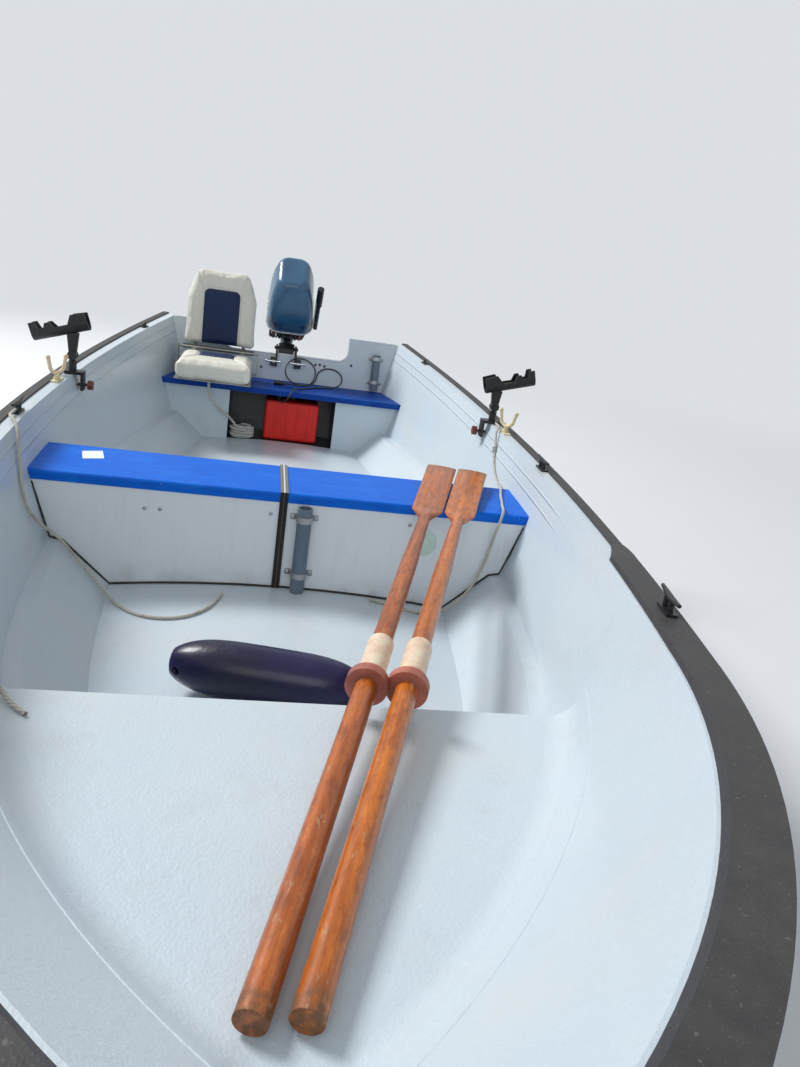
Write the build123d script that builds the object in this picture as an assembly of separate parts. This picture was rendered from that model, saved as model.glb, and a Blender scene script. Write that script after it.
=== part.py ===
from build123d import *
import math
import os

# Small open rowing boat in moulded plastic: a chined hull with a blunt rounded bow,
# a bow platform, two thwarts, a notched transom with an outboard motor tilted up,
# and the loose gear that lies in it. Millimetres, +X to the bow, +Y to port, +Z up.
# The origin is the underside of the keel on the centreline, amidships.

# Hull sizes
SIDE_RADIUS = 6600.0        # radius of the side's curve in plan
BEAM_X = -350.0             # where the hull is widest
SHELL = 8.0                 # hull laminate
STERN_X = -1930.0           # transom's outer face at the height of the keel
STERN_RAKE = 0.16           # how far the transom leans aft for each unit of height
TRANSOM_THICK = 42.0
SHEER_LOW_X = 129.0         # the lowest point of the sheer
SHEER_LOW_Z = 490.0
SHEER_RADIUS = 20600.0
BOTTOM_Z = 35.0             # hull bottom at the centreline, above the keel's underside
DEADRISE = 0.055            # rise of the bottom for each unit of half width
GUNWALE_WIDTH = 45.0        # flange, from the inside of the hull outwards
GUNWALE_THICK = 6.0
SOLE_EDGE_Z = 75.0
SOLE_HALF_WIDTH = 480.0
SOLE_CROWN = 30.0

# Each level of the hull's inner face: height, half beam, bow tip, nose radius, shoulder radius
LEVELS = (
    (30.0, 431.0, 1324.0, 50.0, 1700.0),
    (195.0, 610.0, 1590.0, 60.0, 1700.0),
    (200.0, 645.0, 1612.0, 62.0, 1700.0),
    (640.0, 776.0, 2000.0, 300.0, 1080.0),
)
SIDE_LOW, SIDE_HIGH = LEVELS[2:]    # the two levels that bound the topsides

REACH = 2300.0              # beyond either end of the boat
WIDE = 1000.0               # beyond either side of it
HIGH = 900.0                # above everything in the hull
SEAT_GAP = 0.3              # rest of a piece that is laid or bolted on another


def save(node, *pieces):
    """Write one node's solids to its own STEP file."""
    os.makedirs("parts", exist_ok=True)
    solids = [solid for piece in pieces for solid in piece.solids()]
    export_step(Compound(children=solids), f"parts/{node}.step")


def mirrored(shape):
    """The same piece on the other side of the boat."""
    return mirror(shape, Plane.XZ)


def sheer_z(x):
    """Height of the sheer line at a place along the boat."""
    return SHEER_LOW_Z + SHEER_RADIUS - math.sqrt(SHEER_RADIUS**2 - (x - SHEER_LOW_X) ** 2)


def sheer_slope(x):
    """Slope of the sheer line in degrees, rising towards the bow."""
    return math.degrees(math.asin((x - SHEER_LOW_X) / SHEER_RADIUS))


def side_y(x, z, grow=0.0):
    """Half width of the hull's inner face at a place, where the side arc runs."""
    share = (z - SIDE_LOW[0]) / (SIDE_HIGH[0] - SIDE_LOW[0])
    half_beam = SIDE_LOW[1] + (SIDE_HIGH[1] - SIDE_LOW[1]) * share
    drop = SIDE_RADIUS - math.sqrt(SIDE_RADIUS**2 - (x - BEAM_X) ** 2)
    return half_beam - drop + grow


def stern_x(z):
    """The transom's outer face at a height."""
    return STERN_X - STERN_RAKE * z


def plan_outline(level, grow, z_shift, forward):
    """The hull's plan at one level: side, shoulder and nose arcs that run into each other."""
    z, half_beam, tip, nose, shoulder = level
    side_c = Vector(BEAM_X, half_beam - SIDE_RADIUS)
    nose_c = Vector(tip - nose, 0)
    to_shoulder = SIDE_RADIUS - shoulder
    to_nose = shoulder - nose
    gap = nose_c - side_c
    along = (to_shoulder**2 - to_nose**2 + gap.length**2) / (2 * gap.length)
    across = math.sqrt(to_shoulder**2 - along**2)
    unit = gap.normalized()
    normal = Vector(unit.Y, -unit.X)
    centres = [side_c + unit * along + normal * way * across for way in (-1, 1)]
    shoulder_c = min(centres, key=lambda centre: centre.X)

    def on_arc(centre, radius, angle):
        return Vector(centre.X + radius * math.cos(angle), centre.Y + radius * math.sin(angle))

    def angle_of(centre, point):
        return math.atan2(point.Y - centre.Y, point.X - centre.X)

    side_r = SIDE_RADIUS + grow
    shoulder_r = shoulder + grow
    nose_r = nose + grow
    x_stern = stern_x(z + z_shift) + forward
    a_stern = math.acos((x_stern - side_c.X) / side_r)
    a_side = angle_of(side_c, shoulder_c)
    a_shoulder = angle_of(shoulder_c, nose_c)
    port = [
        on_arc(side_c, side_r, a_stern),
        on_arc(side_c, side_r, (a_stern + a_side) / 2),
        on_arc(side_c, side_r, a_side),
        on_arc(shoulder_c, shoulder_r, (a_side + a_shoulder) / 2),
        on_arc(shoulder_c, shoulder_r, a_shoulder),
    ]
    tip_point = Vector(nose_c.X + nose_r, 0)
    starboard = [Vector(p.X, -p.Y) for p in port]
    edges = [
        Line(starboard[0], port[0]),
        ThreePointArc(port[0], port[1], port[2]),
        ThreePointArc(port[2], port[3], port[4]),
        ThreePointArc(port[4], tip_point, starboard[4]),
        ThreePointArc(starboard[4], starboard[3], starboard[2]),
        ThreePointArc(starboard[2], starboard[1], starboard[0]),
    ]
    return Pos(0, 0, z + z_shift) * Face(Wire([e.edge() for e in edges]))


def hull_form(grow=0.0, drop=0.0, forward=0.0):
    """The hull's form as a solid, grown outwards, with its lower levels dropped."""
    faces = []
    for level in LEVELS:
        shift = 0.0 if level is SIDE_HIGH else -drop
        faces.append(plan_outline(level, grow, shift, forward))
    return Solid.make_loft([face.outer_wire() for face in faces], ruled=True)


def grown(grow):
    """The outer hull's form, grown outwards from the inner face."""
    return hull_form(grow=grow, drop=SHELL)


def block(x0, x1, y0, y1, z0, z1):
    """A box between two corners, in any order."""
    size = (abs(x1 - x0), abs(y1 - y0), abs(z1 - z0))
    return Pos((x0 + x1) / 2, (y0 + y1) / 2, (z0 + z1) / 2) * Box(*size)


def profile_across(points, x0, x1):
    """A closed outline in Y and Z, extruded along X."""
    face = Plane.YZ * make_face(Polyline(*points, close=True))
    return Pos(x0, 0, 0) * extrude(face, x1 - x0)


def profile_along(face, y0, y1):
    """A face drawn in X and Z, extruded between two places across the boat."""
    low, high = sorted((y0, y1))
    return extrude(Pos(0, high, 0) * (Plane.XZ * face), high - low)


def side_plate(points, y0, y1):
    """A flat plate drawn in X and Z between two places across the boat."""
    return profile_along(make_face(Polyline(*points, close=True)), y0, y1)


def rod_between(start, end, radius):
    """A round bar between two points."""
    a = Vector(start)
    b = Vector(end)
    plane = Plane(origin=a, z_dir=(b - a).normalized())
    return extrude(plane * Circle(radius), (b - a).length)


def sheer_band(below, above):
    """Everything between two curves that run below and above the sheer line."""
    def curve(offset):
        return ThreePointArc(
            (-REACH, sheer_z(-REACH) + offset),
            (SHEER_LOW_X, SHEER_LOW_Z + offset),
            (REACH, sheer_z(REACH) + offset),
        )

    low = curve(below)
    high = curve(above)
    face = make_face([low, Line(low @ 1, high @ 1), high, Line(low @ 0, high @ 0)])
    return profile_along(face, -WIDE, WIDE)


def v_bottom(z_centre):
    """Everything above the shallow V of the bottom."""
    edge_z = z_centre + DEADRISE * WIDE
    points = [(0, z_centre), (WIDE, edge_z), (WIDE, REACH), (-WIDE, REACH), (-WIDE, edge_z)]
    return profile_across(points, -REACH, REACH)


def stern_slab(depth):
    """The raked slab that holds the transom, a depth forward of its outer face."""
    behind = -REACH - WIDE
    points = [(behind, -HIGH), (stern_x(-HIGH) + depth, -HIGH), (stern_x(HIGH) + depth, HIGH), (behind, HIGH)]
    return side_plate(points, -WIDE, WIDE)


# The outer form, and the space inside the shell
outer_form = grown(SHELL) & v_bottom(BOTTOM_Z) & sheer_band(-HIGH, 0.0)
cavity = hull_form(forward=TRANSOM_THICK) & v_bottom(BOTTOM_Z + SHELL)

# Rowlock sockets: flanged bushings let down through the gunwale
ROWLOCK_X = -530.0
ROWLOCK_IN = 19.0           # pin's axis, outwards from the hull's inner face
ROWLOCK_PIN_R = 6.35
SOCKET_BORE_R = 6.4
SOCKET_R = 12.0
SOCKET_LONG = 62.0
SOCKET_PLATE_LONG = 70.0
SOCKET_PLATE_WIDE = 25.0
SOCKET_PLATE_THICK = 4.0
SOCKET_HOLE_GAP = 0.1
rowlock_y = side_y(ROWLOCK_X, sheer_z(ROWLOCK_X), ROWLOCK_IN)
rowlock_z = sheer_z(ROWLOCK_X) + 0.2
rowlock_at = Pos(ROWLOCK_X, rowlock_y, rowlock_z) * Rot(0, -sheer_slope(ROWLOCK_X), 0)
socket_plate = extrude(Rectangle(SOCKET_PLATE_LONG, SOCKET_PLATE_WIDE), SOCKET_PLATE_THICK)
socket_stem = extrude(Circle(SOCKET_R), -SOCKET_LONG)
socket_bore = Pos(0, 0, -SOCKET_LONG) * extrude(Circle(SOCKET_BORE_R), SOCKET_LONG + SOCKET_PLATE_THICK)
port_socket = rowlock_at * (socket_plate + socket_stem - socket_bore)
save("rowlock_sockets", port_socket, mirrored(port_socket))
socket_hole = rowlock_at * extrude(Circle(SOCKET_R + SOCKET_HOLE_GAP), -SOCKET_LONG)
socket_holes = socket_hole + mirrored(socket_hole)

# Hull shell
hull_shell = outer_form - stern_slab(TRANSOM_THICK) - cavity - socket_holes
save("hull_shell", hull_shell)

# Transom with its rounded notch for the motor
TRANSOM_TOP = 600.0
NOTCH_HALF = 311.0
NOTCH_Z = 482.0
NOTCH_FILLET = 50.0
notch_tall = 2 * (TRANSOM_TOP - NOTCH_Z + NOTCH_FILLET)
notch_sketch = Pos(0, NOTCH_Z + notch_tall / 2) * RectangleRounded(2 * NOTCH_HALF, notch_tall, NOTCH_FILLET)
notch = Pos(-REACH, 0, 0) * extrude(Plane.YZ * notch_sketch, REACH)
transom = (outer_form & stern_slab(TRANSOM_THICK)) - notch
transom = transom & block(-REACH, 0, -WIDE, WIDE, -HIGH, TRANSOM_TOP)
save("transom", transom)

# Gunwale flange, and the rubber that covers its edge: wide at the bow, thin along the sides
STRAKE_THICK = 14.0
STRAKE_TOP = 10.0
STRAKE_SKIRT = 50.0
STRAKE_LAP = 3.0            # the bow rubber's inner edge, outwards from the hull's inner face
BOW_STRAKE_FROM = 700.0
TRIM_WIDTH = 12.0
TRIM_SKIRT = 24.0
TRIM_TOP = 5.0
flange_form = grown(GUNWALE_WIDTH)
rubber_form = grown(GUNWALE_WIDTH + STRAKE_THICK)
behind_stern = stern_slab(0.0)
flange = (flange_form - grown(SHELL)) & sheer_band(-GUNWALE_THICK, 0)
save("gunwale_flange", flange - behind_stern - socket_holes)
rubber_skirt = rubber_form - flange_form
bow_half = block(BOW_STRAKE_FROM, REACH, -WIDE, WIDE, 0, HIGH)
bow_skirt = rubber_skirt & sheer_band(-STRAKE_SKIRT, STRAKE_TOP)
bow_top = (flange_form - grown(STRAKE_LAP)) & sheer_band(0, STRAKE_TOP)
save("bow_strake", (bow_skirt + bow_top) & bow_half)
trim_skirt = rubber_skirt & sheer_band(-TRIM_SKIRT, TRIM_TOP)
trim_top = (flange_form - grown(GUNWALE_WIDTH - TRIM_WIDTH)) & sheer_band(0, TRIM_TOP)
save("side_trims", (trim_skirt + trim_top) - bow_half - behind_stern)

# Keel that turns up into the stem, and a bilge runner under each side
KEEL_WIDTH = 40.0
KEEL_AFT = -1900.0
FOREFOOT = ((1150.0, 0.0), (1330.0, 30.0), (1480.0, 100.0))
STEM_HEAD = (1640.0, 220.0)
STEM_BACK = (1560.0, 260.0)
RUNNER_WIDTH = 30.0
RUNNER_Y = 360.0
RUNNER_AFT = -1850.0
RUNNER_FORE = 480.0
RUNNER_TURN = (350.0, 30.0)     # where its front starts to rise, and by how much
RUNNER_TALL = 62.0
keel_side = make_face([
    Line((KEEL_AFT, 0), FOREFOOT[0]),
    ThreePointArc(*FOREFOOT),
    Line(FOREFOOT[2], STEM_HEAD),
    Line(STEM_HEAD, STEM_BACK),
    Line(STEM_BACK, (KEEL_AFT, STEM_BACK[1])),
    Line((KEEL_AFT, STEM_BACK[1]), (KEEL_AFT, 0)),
])
keel = profile_along(keel_side, -KEEL_WIDTH / 2, KEEL_WIDTH / 2) - outer_form
save("keel", keel.solids().sort_by(Axis.Z)[0])
runner_points = [(RUNNER_AFT, 0), (RUNNER_TURN[0], 0), (RUNNER_FORE, RUNNER_TURN[1]),
                 (RUNNER_FORE, RUNNER_TALL), (RUNNER_AFT, RUNNER_TALL)]
runner = side_plate(runner_points, RUNNER_Y - RUNNER_WIDTH / 2, RUNNER_Y + RUNNER_WIDTH / 2) - outer_form
runner = runner.solids().sort_by(Axis.Z)[0]
save("bilge_runners", runner, mirrored(runner))

# Bow eye: a cast lug on a plate, square to the stem's face
EYE_Z = 360.0
EYE_PLATE_LONG = 66.0
EYE_PLATE_WIDE = 26.0
EYE_PLATE_THICK = 5.0
EYE_HOLE_R = 11.0
EYE_WALL = 8.0
EYE_THICK = 10.0
bow_rake = math.degrees(math.atan((SIDE_HIGH[2] - SIDE_LOW[2]) / (SIDE_HIGH[0] + SHELL - SIDE_LOW[0])))
eye_share = (EYE_Z + SHELL - SIDE_LOW[0]) / (SIDE_HIGH[0] + SHELL - SIDE_LOW[0])
eye_x = SIDE_LOW[2] + (SIDE_HIGH[2] - SIDE_LOW[2]) * eye_share + SHELL + SEAT_GAP
eye_out = EYE_PLATE_THICK + EYE_HOLE_R + 2
eye_lug = Pos(eye_out, 0) * Circle(EYE_HOLE_R + EYE_WALL) - Pos(-WIDE, 0) * Rectangle(2 * WIDE, 2 * WIDE)
eye = profile_along(eye_lug - Pos(eye_out, 0) * Circle(EYE_HOLE_R), -EYE_THICK / 2, EYE_THICK / 2)
eye = eye + Pos(EYE_PLATE_THICK / 2, 0, 0) * Box(EYE_PLATE_THICK, EYE_PLATE_WIDE, EYE_PLATE_LONG)
save("bow_eye", Pos(eye_x, 0, EYE_Z) * Rot(0, bow_rake, 0) * eye)

# Crowned sole, bow platform with its coved edge, and the bulkhead under it
PLATFORM_Z = 265.0
PLATFORM_THICK = 20.0
PLATFORM_X = 950.0
PLATFORM_COVE = 60.0
BULKHEAD_X = 968.0
BULKHEAD_THICK = 12.0
COVE_SKIN = 2.0             # what the cove leaves on the hull's side
sole_radius = (SOLE_HALF_WIDTH**2 + SOLE_CROWN**2) / (2 * SOLE_CROWN)


def sole_z(y):
    """Height of the crowned sole at a place across the boat."""
    return SOLE_EDGE_Z + SOLE_CROWN - sole_radius + math.sqrt(sole_radius**2 - y**2)


sole_arc = ThreePointArc((-WIDE, sole_z(WIDE)), (0, sole_z(0)), (WIDE, sole_z(WIDE)))
sole_face = make_face([
    sole_arc,
    Line((WIDE, sole_z(WIDE)), (WIDE, -HIGH)),
    Line((WIDE, -HIGH), (-WIDE, -HIGH)),
    Line((-WIDE, -HIGH), (-WIDE, sole_z(WIDE))),
])
under_sole = Pos(-REACH, 0, 0) * extrude(Plane.YZ * sole_face, 2 * REACH)
save("sole", cavity & under_sole & block(-REACH, BULKHEAD_X, -WIDE, WIDE, -HIGH, HIGH))
above_sole = cavity - under_sole
platform_low = PLATFORM_Z - PLATFORM_THICK
bulkhead = above_sole & block(BULKHEAD_X, BULKHEAD_X + BULKHEAD_THICK, -WIDE, WIDE, 0, platform_low)
save("bow_bulkhead", bulkhead)
platform_block = block(PLATFORM_X, REACH, -WIDE, WIDE, platform_low, PLATFORM_Z + PLATFORM_COVE)
basin = hull_form(grow=-COVE_SKIN) & block(0, REACH, -WIDE, WIDE, PLATFORM_Z, HIGH)
basin_edges = basin.edges().group_by(Axis.Z)[0].filter_by(lambda edge: edge.center().X > 1.0)
basin = basin.fillet(PLATFORM_COVE, basin_edges)
save("bow_platform", (cavity & platform_block) - basin)

# Centre thwart: two lids, a front and a back panel in two halves, and the strip between them
THWART_X = 80.0
THWART_DEPTH = 285.0
THWART_Z = 385.0
LID_THICK = 27.0
LID_ROUND = 8.0
PANEL_THICK = 12.0
PANEL_SET_BACK = 2.5
STRIP_Y = -20.0
STRIP_WIDTH = 22.0
STRIP_STAND = 3.0
thwart_back = THWART_X - THWART_DEPTH
lid_z = THWART_Z - LID_THICK
strip_low = STRIP_Y - STRIP_WIDTH / 2
strip_high = STRIP_Y + STRIP_WIDTH / 2
strip_gap = block(-WIDE, WIDE, strip_low, strip_high, 0, HIGH)
lid_block = block(thwart_back, THWART_X, -WIDE, WIDE, lid_z, THWART_Z)
lid_block = lid_block.fillet(LID_ROUND, lid_block.edges().filter_by(Axis.Y).group_by(Axis.Z)[-1])
save("centre_thwart_lids", cavity & (lid_block - strip_gap))
front_x = THWART_X - PANEL_SET_BACK
back_x = thwart_back + PANEL_SET_BACK
for node, x0 in (("centre_thwart_front", front_x - PANEL_THICK), ("centre_thwart_back", back_x)):
    panel = above_sole & block(x0, x0 + PANEL_THICK, -WIDE, WIDE, 0, lid_z)
    save(node, panel - strip_gap)
strip_front = THWART_X + STRIP_STAND
strip_top = THWART_Z + STRIP_STAND
strip = above_sole & (
    block(thwart_back, THWART_X, strip_low, strip_high, lid_z, strip_top)
    + block(front_x, strip_front, strip_low, strip_high, 0, strip_top)
    + block(front_x - PANEL_THICK, front_x, strip_low, strip_high, 0, lid_z)
)
save("centre_strip", strip)

# Stern thwart and the two lockers under it
STERN_THWART_X = -1653.0
STERN_THWART_Z = 355.0
STERN_THWART_THICK = 25.0
STERN_THWART_ROUND = 5.0
LOCKER_HALF_GAP = 250.0
LOCKER_SET_BACK = 25.0
stern_low = STERN_THWART_Z - STERN_THWART_THICK
stern_block = block(-REACH, STERN_THWART_X, -WIDE, WIDE, stern_low, STERN_THWART_Z)
stern_edge = stern_block.edges().filter_by(Axis.Y).group_by(Axis.X)[-1].group_by(Axis.Z)[-1]
save("stern_thwart", cavity & stern_block.fillet(STERN_THWART_ROUND, stern_edge))
locker_x = STERN_THWART_X - LOCKER_SET_BACK
port_locker = above_sole & (
    block(locker_x - PANEL_THICK, locker_x, LOCKER_HALF_GAP, WIDE, 0, stern_low)
    + block(-REACH, locker_x, LOCKER_HALF_GAP, LOCKER_HALF_GAP + PANEL_THICK, 0, stern_low)
)
save("stern_lockers", port_locker, mirrored(port_locker))

# Grey rod tubes, each held by two saddles
TUBE_R = 20.0
TUBE_WALL = 3.0
SADDLE_WIDTH = 78.0
SADDLE_TALL = 16.0
SADDLE_THICK = 3.0
SADDLE_SHARES = (0.17, 0.84)    # where the saddles sit, as shares of the tube's length
THWART_TUBE_Y = 40.0
THWART_TUBE_LOW = 108.0
THWART_TUBE_LENGTH = 245.0
TRANSOM_TUBE_Y = 453.0
TRANSOM_TUBE_LOW = 358.0
TRANSOM_TUBE_LENGTH = 175.0
TRANSOM_TUBE_UP = 5.0           # clear of the stern thwart


def rod_tube(length):
    """An open tube that stands on its lower end."""
    return extrude(Circle(TUBE_R) - Circle(TUBE_R - TUBE_WALL), length)


def saddle():
    """A strap bent round the tube, with a flat foot on each side, its back at x = 0."""
    outer_r = TUBE_R + SADDLE_THICK
    strap = Circle(outer_r) + Pos(-TUBE_R / 2, 0) * Rectangle(TUBE_R, 2 * outer_r)
    foot = Pos(SADDLE_THICK / 2 - TUBE_R, 0) * Rectangle(SADDLE_THICK, SADDLE_WIDTH)
    inside = Circle(TUBE_R) + Pos(-TUBE_R / 2, 0) * Rectangle(TUBE_R, 2 * TUBE_R)
    in_front = Pos(SADDLE_WIDTH / 2 - TUBE_R, 0) * Rectangle(SADDLE_WIDTH, SADDLE_WIDTH)
    return Pos(TUBE_R, 0, 0) * extrude((strap + foot - inside) & in_front, SADDLE_TALL)


rake_angle = math.degrees(math.atan(STERN_RAKE))
thwart_tube_at = Pos(front_x, THWART_TUBE_Y, THWART_TUBE_LOW)
transom_face = Pos(stern_x(TRANSOM_TUBE_LOW) + TRANSOM_THICK, TRANSOM_TUBE_Y, TRANSOM_TUBE_LOW)
transom_tube_at = transom_face * Rot(0, -rake_angle, 0) * Pos(SEAT_GAP, 0, TRANSOM_TUBE_UP)
save("thwart_rod_tube", thwart_tube_at * Pos(TUBE_R, 0, 0) * rod_tube(THWART_TUBE_LENGTH))
save("transom_rod_tube", transom_tube_at * Pos(TUBE_R, 0, 0) * rod_tube(TRANSOM_TUBE_LENGTH))
saddles = []
for place, length in ((thwart_tube_at, THWART_TUBE_LENGTH), (transom_tube_at, TRANSOM_TUBE_LENGTH)):
    for share in SADDLE_SHARES:
        saddles.append(place * Pos(0, 0, length * share) * saddle())
save("rod_tube_saddles", *saddles)

# Mooring cleats: a foot, two posts and a horned bar
CLEAT_LONG = 110.0
CLEAT_FOOT = (62.0, 20.0, 5.0)
CLEAT_POST_R = 6.0
CLEAT_POST_GAP = 30.0
CLEAT_HIGH = 26.0
CLEAT_BAR_R = 6.5
CLEAT_TIP_R = 3.6
CLEAT_TIP_RISE = 4.0
CLEAT_PLACES = ((-80.0, 19.0), (1000.0, 30.0))     # along the boat, and out from the inner face


def cleat():
    body = Pos(0, 0, CLEAT_FOOT[2] / 2) * Box(*CLEAT_FOOT)
    for way in (-1, 1):
        body = body + Pos(way * CLEAT_POST_GAP / 2, 0, 0) * extrude(Circle(CLEAT_POST_R), CLEAT_HIGH)
        root = Plane(origin=(0, 0, CLEAT_HIGH), z_dir=(way, 0, 0))
        tip = Plane(origin=(way * CLEAT_LONG / 2, 0, CLEAT_HIGH + CLEAT_TIP_RISE), z_dir=(way, 0, 0))
        body = body + loft([root * Circle(CLEAT_BAR_R), tip * Circle(CLEAT_TIP_R)])
    return body


cleats = []
for x, out in CLEAT_PLACES:
    rubber = STRAKE_TOP if x > BOW_STRAKE_FROM else 0.0
    turn = -math.degrees(math.asin((x - BEAM_X) / SIDE_RADIUS))
    place = Pos(x, side_y(x, sheer_z(x), out), sheer_z(x) + rubber + SEAT_GAP)
    port_cleat = place * Rot(0, -sheer_slope(x), turn) * cleat()
    cleats.extend([port_cleat, mirrored(port_cleat)])
save("mooring_cleats", *cleats)

# Small eyes on the gunwale beside the stern thwart
PAD_X = -1650.0
PAD_OUT = 19.0
PAD_FOOT = (44.0, 20.0, 4.0)
PAD_RING_R = 11.0
PAD_BAR_R = 3.5
pad_slope = sheer_slope(PAD_X)
pad_eye = Pos(0, 0, PAD_FOOT[2] / 2) * Box(*PAD_FOOT)
pad_ring = Pos(0, 0, PAD_FOOT[2] + PAD_BAR_R) * Rot(90, 0, 0) * Torus(PAD_RING_R, PAD_BAR_R)
pad_ring = pad_ring & block(-WIDE, WIDE, -WIDE, WIDE, PAD_FOOT[2] / 2, HIGH)
pad_at = Pos(PAD_X, side_y(PAD_X, sheer_z(PAD_X), PAD_OUT), sheer_z(PAD_X) + SEAT_GAP)
pad_turn = -math.degrees(math.asin((PAD_X - BEAM_X) / SIDE_RADIUS))
port_pad = pad_at * Rot(0, -pad_slope, pad_turn) * (pad_eye + pad_ring)
save("stern_eyes", port_pad, mirrored(port_pad))

# Rowlocks: a pin with a collar and a horned fork, which swivels in its socket
HORN_R = 6.0
HORN_BALL_R = 7.5
FORK_R = 27.0
FORK_RISE = 20.0
HORN_TALL = 24.0
HORN_SPREAD = 6.0
HORN_TURN = 40.0
COLLAR_LIFT = 0.4
COLLAR_R = 11.0
COLLAR_TALL = 5.0
NECK_R = 8.0
PIN_SHORT = 4.0             # the pin ends this far above the socket's foot


def rowlock():
    low = SOCKET_PLATE_THICK + COLLAR_LIFT
    pin_low = PIN_SHORT - SOCKET_LONG
    fork_z = low + FORK_RISE + FORK_R
    body = Pos(0, 0, pin_low) * extrude(Circle(ROWLOCK_PIN_R), low - pin_low)
    body = body + Pos(0, 0, low) * extrude(Circle(COLLAR_R), COLLAR_TALL)
    body = body + Pos(0, 0, low) * extrude(Circle(NECK_R), FORK_RISE)
    tip_x = FORK_R + HORN_SPREAD
    path = Wire([
        Line((-tip_x, 0, fork_z + HORN_TALL), (-FORK_R, 0, fork_z)).edge(),
        ThreePointArc((-FORK_R, 0, fork_z), (0, 0, fork_z - FORK_R), (FORK_R, 0, fork_z)).edge(),
        Line((FORK_R, 0, fork_z), (tip_x, 0, fork_z + HORN_TALL)).edge(),
    ])
    start = Plane(origin=path @ 0, z_dir=path % 0)
    body = body + sweep(start * Circle(HORN_R), path=path, transition=Transition.ROUND)
    for end in (path @ 0, path @ 1):
        body = body + Pos(*end) * Sphere(HORN_BALL_R)
    return Rot(0, 0, HORN_TURN) * body


port_rowlock = rowlock_at * rowlock()
save("rowlock_port", port_rowlock)
save("rowlock_starboard", mirrored(port_rowlock))

# Rod holders: a clamp on the gunwale, drawn from the sheer at the hull's inner face,
# and an open trough on a stem, drawn from the clamp's pivot
HOLDER_X = -660.0
CLAMP_LONG = 40.0
CLAMP_IN = -34.0
CLAMP_OUT = 26.0
CLAMP_TOP = 11.0
CLAMP_DROP = 52.0
JAW_THICK = 9.0
CLAMP_SCREW_Z = -34.0
CLAMP_SCREW_R = 5.0
KNOB_R = 16.0
KNOB_LONG = 16.0
POST_OUT = 4.0
POST_R = 13.0
POST_TOP = 44.0
PIVOT_UP = 61.0
BOSS_R = 16.0
BOSS_LONG = 26.0
STEM_THICK = 18.0
STEM_HALF_LOW = 11.0
STEM_HALF_HIGH = 19.0
TROUGH_R = 26.0
TROUGH_WALL = 5.0
TROUGH_IN = -50.0
TROUGH_OUT = 132.0
TROUGH_SIDE = 34.0
# The trough's top edge from its inboard end: place along it and height, in shares of its side
TROUGH_EDGE = ((-50, 0.9), (-4, 1.0), (14, 0.1), (54, 0.1), (68, 0.7), (82, 0.7), (90, 0.2), (106, 0.25),
               (114, 0.95), (132, 0.95))
holder_z = sheer_z(HOLDER_X)
holder_y = side_y(HOLDER_X, holder_z)
half = CLAMP_LONG / 2
jaw_in = CLAMP_IN + JAW_THICK
screw_tip = side_y(HOLDER_X, holder_z + CLAMP_SCREW_Z) - holder_y - 3.6
clamp = (
    block(-half, half, CLAMP_IN, CLAMP_OUT, SEAT_GAP, CLAMP_TOP)
    + block(-half, half, CLAMP_IN, jaw_in, -CLAMP_DROP, CLAMP_TOP)
    + rod_between((0, CLAMP_IN - 14, CLAMP_SCREW_Z), (0, screw_tip, CLAMP_SCREW_Z), CLAMP_SCREW_R)
    + rod_between((0, CLAMP_IN - 12 - KNOB_LONG, CLAMP_SCREW_Z), (0, CLAMP_IN - 12, CLAMP_SCREW_Z), KNOB_R)
    + Pos(0, POST_OUT, CLAMP_TOP - 1) * extrude(Circle(POST_R), POST_TOP - CLAMP_TOP + 1)
)
port_clamp = Pos(HOLDER_X, holder_y, holder_z) * Rot(0, -sheer_slope(HOLDER_X), 0) * clamp
save("rod_holder_clamps", port_clamp, mirrored(port_clamp))


def rod_holder(rise, lean):
    """A stem with a trough at a height above the pivot, its outboard end leaned up."""
    boss = Rot(90, 0, 0) * Cylinder(BOSS_R, BOSS_LONG)
    stem_points = [(-STEM_HALF_LOW, 0), (STEM_HALF_LOW, 0), (STEM_HALF_HIGH, rise - TROUGH_R + 2),
                   (-STEM_HALF_HIGH, rise - TROUGH_R + 2)]
    stem = side_plate(stem_points, -STEM_THICK / 2, STEM_THICK / 2)
    section = Circle(TROUGH_R) + Pos(0, TROUGH_SIDE / 2) * Rectangle(2 * TROUGH_R, TROUGH_SIDE)
    hollow_r = TROUGH_R - TROUGH_WALL
    hollow = Circle(hollow_r) + Pos(0, TROUGH_SIDE) * Rectangle(2 * hollow_r, 2 * TROUGH_SIDE)
    trough = Pos(TROUGH_IN, 0, 0) * extrude(Plane.YZ * (section - hollow), TROUGH_OUT - TROUGH_IN)
    edge = [(x, share * TROUGH_SIDE) for x, share in TROUGH_EDGE]
    keep = [(TROUGH_IN, -HIGH), *edge, (TROUGH_OUT, -HIGH)]
    trough = trough & side_plate(keep, -TROUGH_R - 1, TROUGH_R + 1)
    return boss + stem + Pos(0, 0, rise) * Rot(0, -lean, 0) * trough


pivot = Pos(HOLDER_X, holder_y + POST_OUT, holder_z + PIVOT_UP)
port_holder = pivot * Rot(0, 0, 90) * rod_holder(83.0, 16.0)
starboard_holder = mirrored(pivot * Rot(0, 0, 90) * rod_holder(98.0, -18.0))
save("rod_holder_cradles", port_holder, starboard_holder)

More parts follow.
